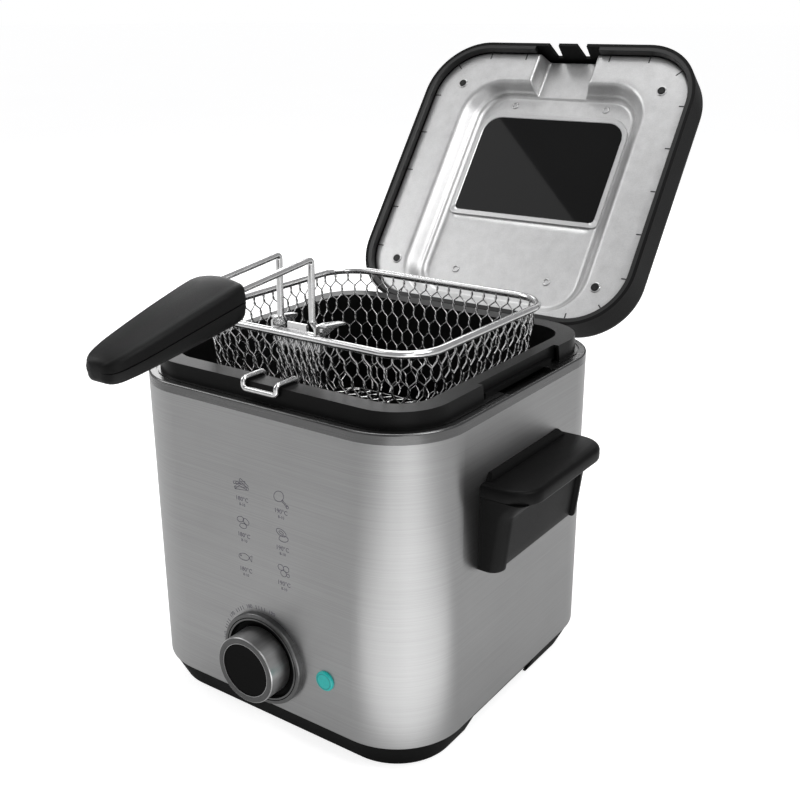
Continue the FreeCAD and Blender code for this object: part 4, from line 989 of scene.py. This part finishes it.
def turned_mesh(name, profile, centre_x, centre_z, steps=96):
    """Closed ring turned about a front-to-back axis; the profile is radius and y."""
    points = []
    for step in range(steps):
        turn = 2 * math.pi * step / steps
        across, up = math.cos(turn), math.sin(turn)
        points += [(centre_x + radius * across, y, centre_z + radius * up) for radius, y in profile]
    return mesh_from(name, points, ring_faces(steps, len(profile), closed_loop=True))


def build_dial():
    """Rim round the knob's face, and the dark recess that the knob turns in."""
    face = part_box("knob_sleeve")[0].y / MM
    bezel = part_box("dial_bezel")[0].y / MM
    rim = [(radius, face + behind) for radius, behind in KNOB_RIM]
    mesh = turned_mesh("knob_face_rim", rim, 0.0, DIAL_Z)
    add_piece("knob_face_rim", mesh, "knob", knob_rim, crease=40)
    cup = [
        (23.4, bezel - 0.12), (21.9, bezel + 0.25), (21.5, bezel + 0.8), (21.2, CASE_FRONT_Y - 1.6),
        (20.6, CASE_FRONT_Y - 1.2), (8.0, CASE_FRONT_Y - 1.2), (8.0, CASE_FRONT_Y - 1.0),
        (21.9, CASE_FRONT_Y - 1.0), (22.0, bezel + 0.8), (23.3, bezel + 0.1),
    ]
    mesh = turned_mesh("dial_recess", cup, 0.0, DIAL_Z)
    add_piece("dial_recess", mesh, "root", knob_black, crease=40)


def build_lens_ring():
    """Darker edge of the indicator's lens."""
    low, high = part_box("indicator_lens")
    centre_x = (low.x + high.x) / 2 / MM
    centre_z = (low.z + high.z) / 2 / MM
    front = low.y / MM
    ring = [(radius, front + behind) for radius, behind in LENS_RING]
    mesh = turned_mesh("lens_ring", ring, centre_x, centre_z, 48)
    add_piece("lens_ring", mesh, "root", lens_edge)


# ---- printed marks ----

OVAL_STEPS = 20
LINE_Y = CASE_FRONT_Y + 0.02
LINE_RADIUS = 0.17
NUMBER_HEIGHT = 0.03
PICTURE_ROWS_Z = (137.0, 117.0, 97.5)
PICTURE_COLUMNS_X = (-10.5, 15.0)
HEAT_SIZE = 3.3
HEAT_DROP = 7.2
MINUTES_SIZE = 2.2
MINUTES_DROP = 10.2
SCALE_RADIUS = 28.0
SCALE_SIZE = 3.0
SCALE_NUMBERS = 5
SCALE_TICKS = 4
SCALE_START_DEG = 206
SCALE_STEP_DEG = 32


def tilted(points, centre, tilt):
    """Line turned by tilt degrees and moved to its centre."""
    lean = math.radians(tilt)
    return [
        (
            centre[0] + x * math.cos(lean) - z * math.sin(lean),
            centre[1] + x * math.sin(lean) + z * math.cos(lean),
        )
        for x, z in points
    ]


def oval(centre, radius_x, radius_z, tilt=0):
    """Closed line round an oval."""
    turns = [math.radians(360 * step / OVAL_STEPS) for step in range(OVAL_STEPS + 1)]
    return tilted([(radius_x * math.cos(turn), radius_z * math.sin(turn)) for turn in turns], centre, tilt)


def stick(centre, length, width, tilt):
    """Closed line round a narrow bar."""
    corners = [(length / 2 * x, width / 2 * z) for x, z in ((-1, -1), (1, -1), (1, 1), (-1, 1), (-1, -1))]
    return tilted(corners, centre, tilt)


# simple line drawings of chips, a drumstick, nuggets, a cutlet, a fish and vegetables
PICTOGRAMS = (
    [
        stick((-1.2, 1.6), 8, 1.3, 12), stick((0.6, 0.2), 8.5, 1.3, -14), stick((-0.5, -1.4), 8, 1.3, 8),
        stick((1.8, 2.0), 6, 1.3, -30), stick((-2.4, -0.2), 5, 1.2, 40),
    ],
    [oval((-1.0, 0.8), 3.4, 2.6, 35), stick((2.6, -2.2), 3.6, 0.8, -40), oval((4.2, -3.6), 0.8, 0.8)],
    [oval((-1.8, 1.4), 2.3, 1.5, 20), oval((1.9, 0.9), 2.1, 1.5, -30), oval((-0.2, -2.0), 2.4, 1.4, 10)],
    [oval((-0.4, 1.5), 3.2, 1.8, -15), oval((1.0, -1.5), 3.0, 1.7, 12), oval((-0.4, 1.5), 1.5, 0.7, -15)],
    [
        oval((-0.8, 0.0), 3.6, 1.9, 8), [(2.6, 0.5), (4.8, 2.2), (4.4, -1.4), (2.6, 0.5)],
        oval((-2.9, 0.2), 0.3, 0.3),
    ],
    [
        oval((-1.7, 1.6), 1.8, 1.6), oval((1.8, 1.5), 1.8, 1.6), oval((0.0, -1.4), 1.9, 1.7),
        oval((2.9, -1.8), 0.9, 0.9),
    ],
)


def text_mesh(words, size, centre_x, centre_z, tilt=0.0):
    """Flat raised numbers that face forwards, as points and faces in millimetres."""
    curve = bpy.data.curves.new("words", "FONT")
    curve.body = words
    curve.size = size
    curve.align_x = "CENTER"
    curve.align_y = "CENTER"
    curve.extrude = NUMBER_HEIGHT
    curve.resolution_u = 3
    mesh = curve_mesh(curve)
    cosine, sine = math.cos(tilt), math.sin(tilt)
    points = [
        (
            centre_x + vertex.co.x * cosine - vertex.co.y * sine,
            CASE_FRONT_Y - vertex.co.z,
            centre_z + vertex.co.x * sine + vertex.co.y * cosine,
        )
        for vertex in mesh.vertices
    ]
    faces = [tuple(face.vertices) for face in mesh.polygons]
    bpy.data.meshes.remove(mesh)
    return points, faces


def food_marks():
    """Lines of the food pictures, and the numbers under each."""
    lines, words = [], []
    spots = [(x, z) for z in PICTURE_ROWS_Z for x in PICTURE_COLUMNS_X]
    for index, (spot_x, spot_z) in enumerate(spots):
        for line in PICTOGRAMS[index]:
            lines.append([(spot_x + x, LINE_Y, spot_z + z) for x, z in line])
        heat = "190°C" if index % 2 else "180°C"
        words.append(text_mesh(heat, HEAT_SIZE, spot_x, spot_z - HEAT_DROP))
        words.append(text_mesh("8-10", MINUTES_SIZE, spot_x, spot_z - MINUTES_DROP))
    return lines, words


def scale_marks():
    """Ticks and numbers of the scale round the dial."""
    lines, words = [], []
    for step in range(SCALE_NUMBERS):
        middle = math.radians(SCALE_START_DEG - SCALE_STEP_DEG * step)
        words.append(text_mesh(
            str(150 + 10 * step), SCALE_SIZE,
            SCALE_RADIUS * math.cos(middle), DIAL_Z + SCALE_RADIUS * math.sin(middle), middle - math.pi / 2,
        ))
        for tick in range(SCALE_TICKS if step < SCALE_NUMBERS - 1 else 0):
            turn = middle - math.radians(10 + 4 * tick)
            lines.append([
                (reach * math.cos(turn), LINE_Y, DIAL_Z + reach * math.sin(turn))
                for reach in (SCALE_RADIUS - 1.2, SCALE_RADIUS + 1.0)
            ])
    return lines, words


def build_marks():
    """All printed lines as one piece and all numbers as another."""
    food_lines, food_words = food_marks()
    scale_lines, scale_words = scale_marks()
    mesh = wires_mesh("front_pictograms", food_lines + scale_lines, LINE_RADIUS, 4)
    add_piece("front_pictograms", mesh, "root", ink)
    mesh = mesh_from("front_numbers", *join_parts(food_words + scale_words))
    add_piece("front_numbers", mesh, "root", ink, smooth=False)


# ---- stage, light and camera ----

# everything here is in metres
FLOOR_REACH = 30.0
# how brightly the floor and the surroundings glow for the object, and for the camera
FLOOR_GLOW = 0.24
FLOOR_GLOW_SEEN = 0.78
WORLD_GLOW = (0.34, 0.34, 0.345, 1.0)
WORLD_GLOW_SEEN = (1.0, 1.0, 1.0, 1.0)
# name, place, target, two side lengths, watts, and the direction of the first side where it matters
LIGHTS = (
    ("top_softbox", (-0.25, 0.35, 1.4), (0, 0, 0.15), (0.9, 0.7), 7, None),
    ("corner_card", (0.95, -0.78, 0.5), (0.07, -0.07, 0.1), (0.4, 1.2), 2.0, None),
    (
        "corner_floor_card", (0.267, -0.254, 0.003), (0.267, -0.254, 1), (0.45, 0.34), 0.68,
        (0.731, -0.682, 0),
    ),
    ("rear_card", (-0.9, 1.25, 0.8), (0, 0, 0.18), (1.2, 0.8), 8, None),
    ("right_card", (0.66, -0.02, 0.92), (0, 0.18, 0.26), (0.4, 0.5), 3.6, None),
    ("left_softbox", (-1.2, -0.5, 0.9), (0, 0, 0.15), (0.5, 0.8), 4, None),
    (
        "window_card", (-0.879, -0.516, 1.166), (-0.416, -0.131, 0.367), (1.6, 0.7), 2.4,
        (0.595, -0.803, -0.043),
    ),
)
CAMERA_PLACE = (0.3354, -0.4513, 0.3576)
CAMERA_TURN_DEG = 35.13
CAMERA_TILT_DEG = 19.75
CAMERA_ROLL_DEG = -0.17
CAMERA_LENS = 48.65
CAMERA_SENSOR = 36.0
CAMERA_NEAR = 0.01


def build_floor():
    """Pale floor, which isn't part of the object."""
    mesh = bpy.data.meshes.new("studio_floor")
    corners = [(x * FLOOR_REACH, y * FLOOR_REACH, 0) for x, y in ((-1, -1), (1, -1), (1, 1), (-1, 1))]
    mesh.from_pydata(corners, [], [(0, 1, 2, 3)])
    floor = bpy.data.objects.new("studio_floor", mesh)
    bpy.context.scene.collection.objects.link(floor)
    paper = surface(
        "studio_paper", (196, 204), (0.7, 0.8), scale=30, bump=0.0, mottle=2,
        Emission_Color=(1, 1, 1, 1),
    )
    tree = paper.node_tree
    path = tree.nodes.new("ShaderNodeLightPath")
    glow = range_socket(tree, path.outputs["Is Camera Ray"], FLOOR_GLOW, FLOOR_GLOW_SEEN, 0.0, 1.0)
    tree.links.new(glow, tree.nodes["Principled BSDF"].inputs["Emission Strength"])
    mesh.materials.append(paper)


def build_world():
    """Even grey light from all round, seen as white."""
    world = bpy.data.worlds.new("studio")
    world.use_nodes = True
    tree = world.node_tree
    background = tree.nodes["Background"]
    path = tree.nodes.new("ShaderNodeLightPath")
    mix = tree.nodes.new("ShaderNodeMix")
    mix.data_type = "RGBA"
    mix.inputs["A"].default_value = WORLD_GLOW
    mix.inputs["B"].default_value = WORLD_GLOW_SEEN
    tree.links.new(path.outputs["Is Camera Ray"], mix.inputs["Factor"])
    tree.links.new(mix.outputs["Result"], background.inputs["Color"])
    bpy.context.scene.world = world


def area_light(name, place, target, size, power, along):
    """Soft rectangular light that the camera doesn't see."""
    lamp = bpy.data.lights.new(name, "AREA")
    lamp.shape = "RECTANGLE"
    lamp.size, lamp.size_y = size
    lamp.energy = power
    holder = bpy.data.objects.new(name, lamp)
    back = (Vector(place) - Vector(target)).normalized()
    if along is None:
        turned = back.to_track_quat("Z", "Y").to_matrix()
    else:
        side = Vector(along)
        side = (side - back * side.dot(back)).normalized()
        turned = Matrix((side, back.cross(side), back)).transposed()
    holder.matrix_world = Matrix.Translation(Vector(place)) @ turned.to_4x4()
    holder.visible_camera = False
    bpy.context.scene.collection.objects.link(holder)


def build_camera():
    """Camera at the photograph's viewing angle."""
    turn, tilt = math.radians(CAMERA_TURN_DEG), math.radians(CAMERA_TILT_DEG)
    back = Vector((math.sin(turn) * math.cos(tilt), -math.cos(turn) * math.cos(tilt), math.sin(tilt)))
    right = Vector((math.cos(turn), math.sin(turn), 0))
    up = back.cross(right)
    camera = bpy.data.cameras.new("camera")
    camera.lens = CAMERA_LENS
    camera.sensor_width = CAMERA_SENSOR
    camera.clip_start = CAMERA_NEAR
    holder = bpy.data.objects.new("camera", camera)
    axes = Matrix((right, up, back)).transposed().to_4x4()
    roll = Matrix.Rotation(math.radians(CAMERA_ROLL_DEG), 4, "Z")
    holder.matrix_world = Matrix.Translation(Vector(CAMERA_PLACE)) @ axes @ roll
    bpy.context.scene.collection.objects.link(holder)
    bpy.context.scene.camera = holder


# ---- assembly ----

build_panel()
build_panel_details()
build_edge_slit_shade()
build_window_frame()
build_window_pane()
build_lip_flange()
build_basket_net()
build_front_overlap()
build_grip()
build_side_handles()
build_dial()
build_lens_ring()
build_marks()

build_floor()
build_world()
for light in LIGHTS:
    area_light(*light)
build_camera()
bpy.context.scene.view_settings.view_transform = "Standard"
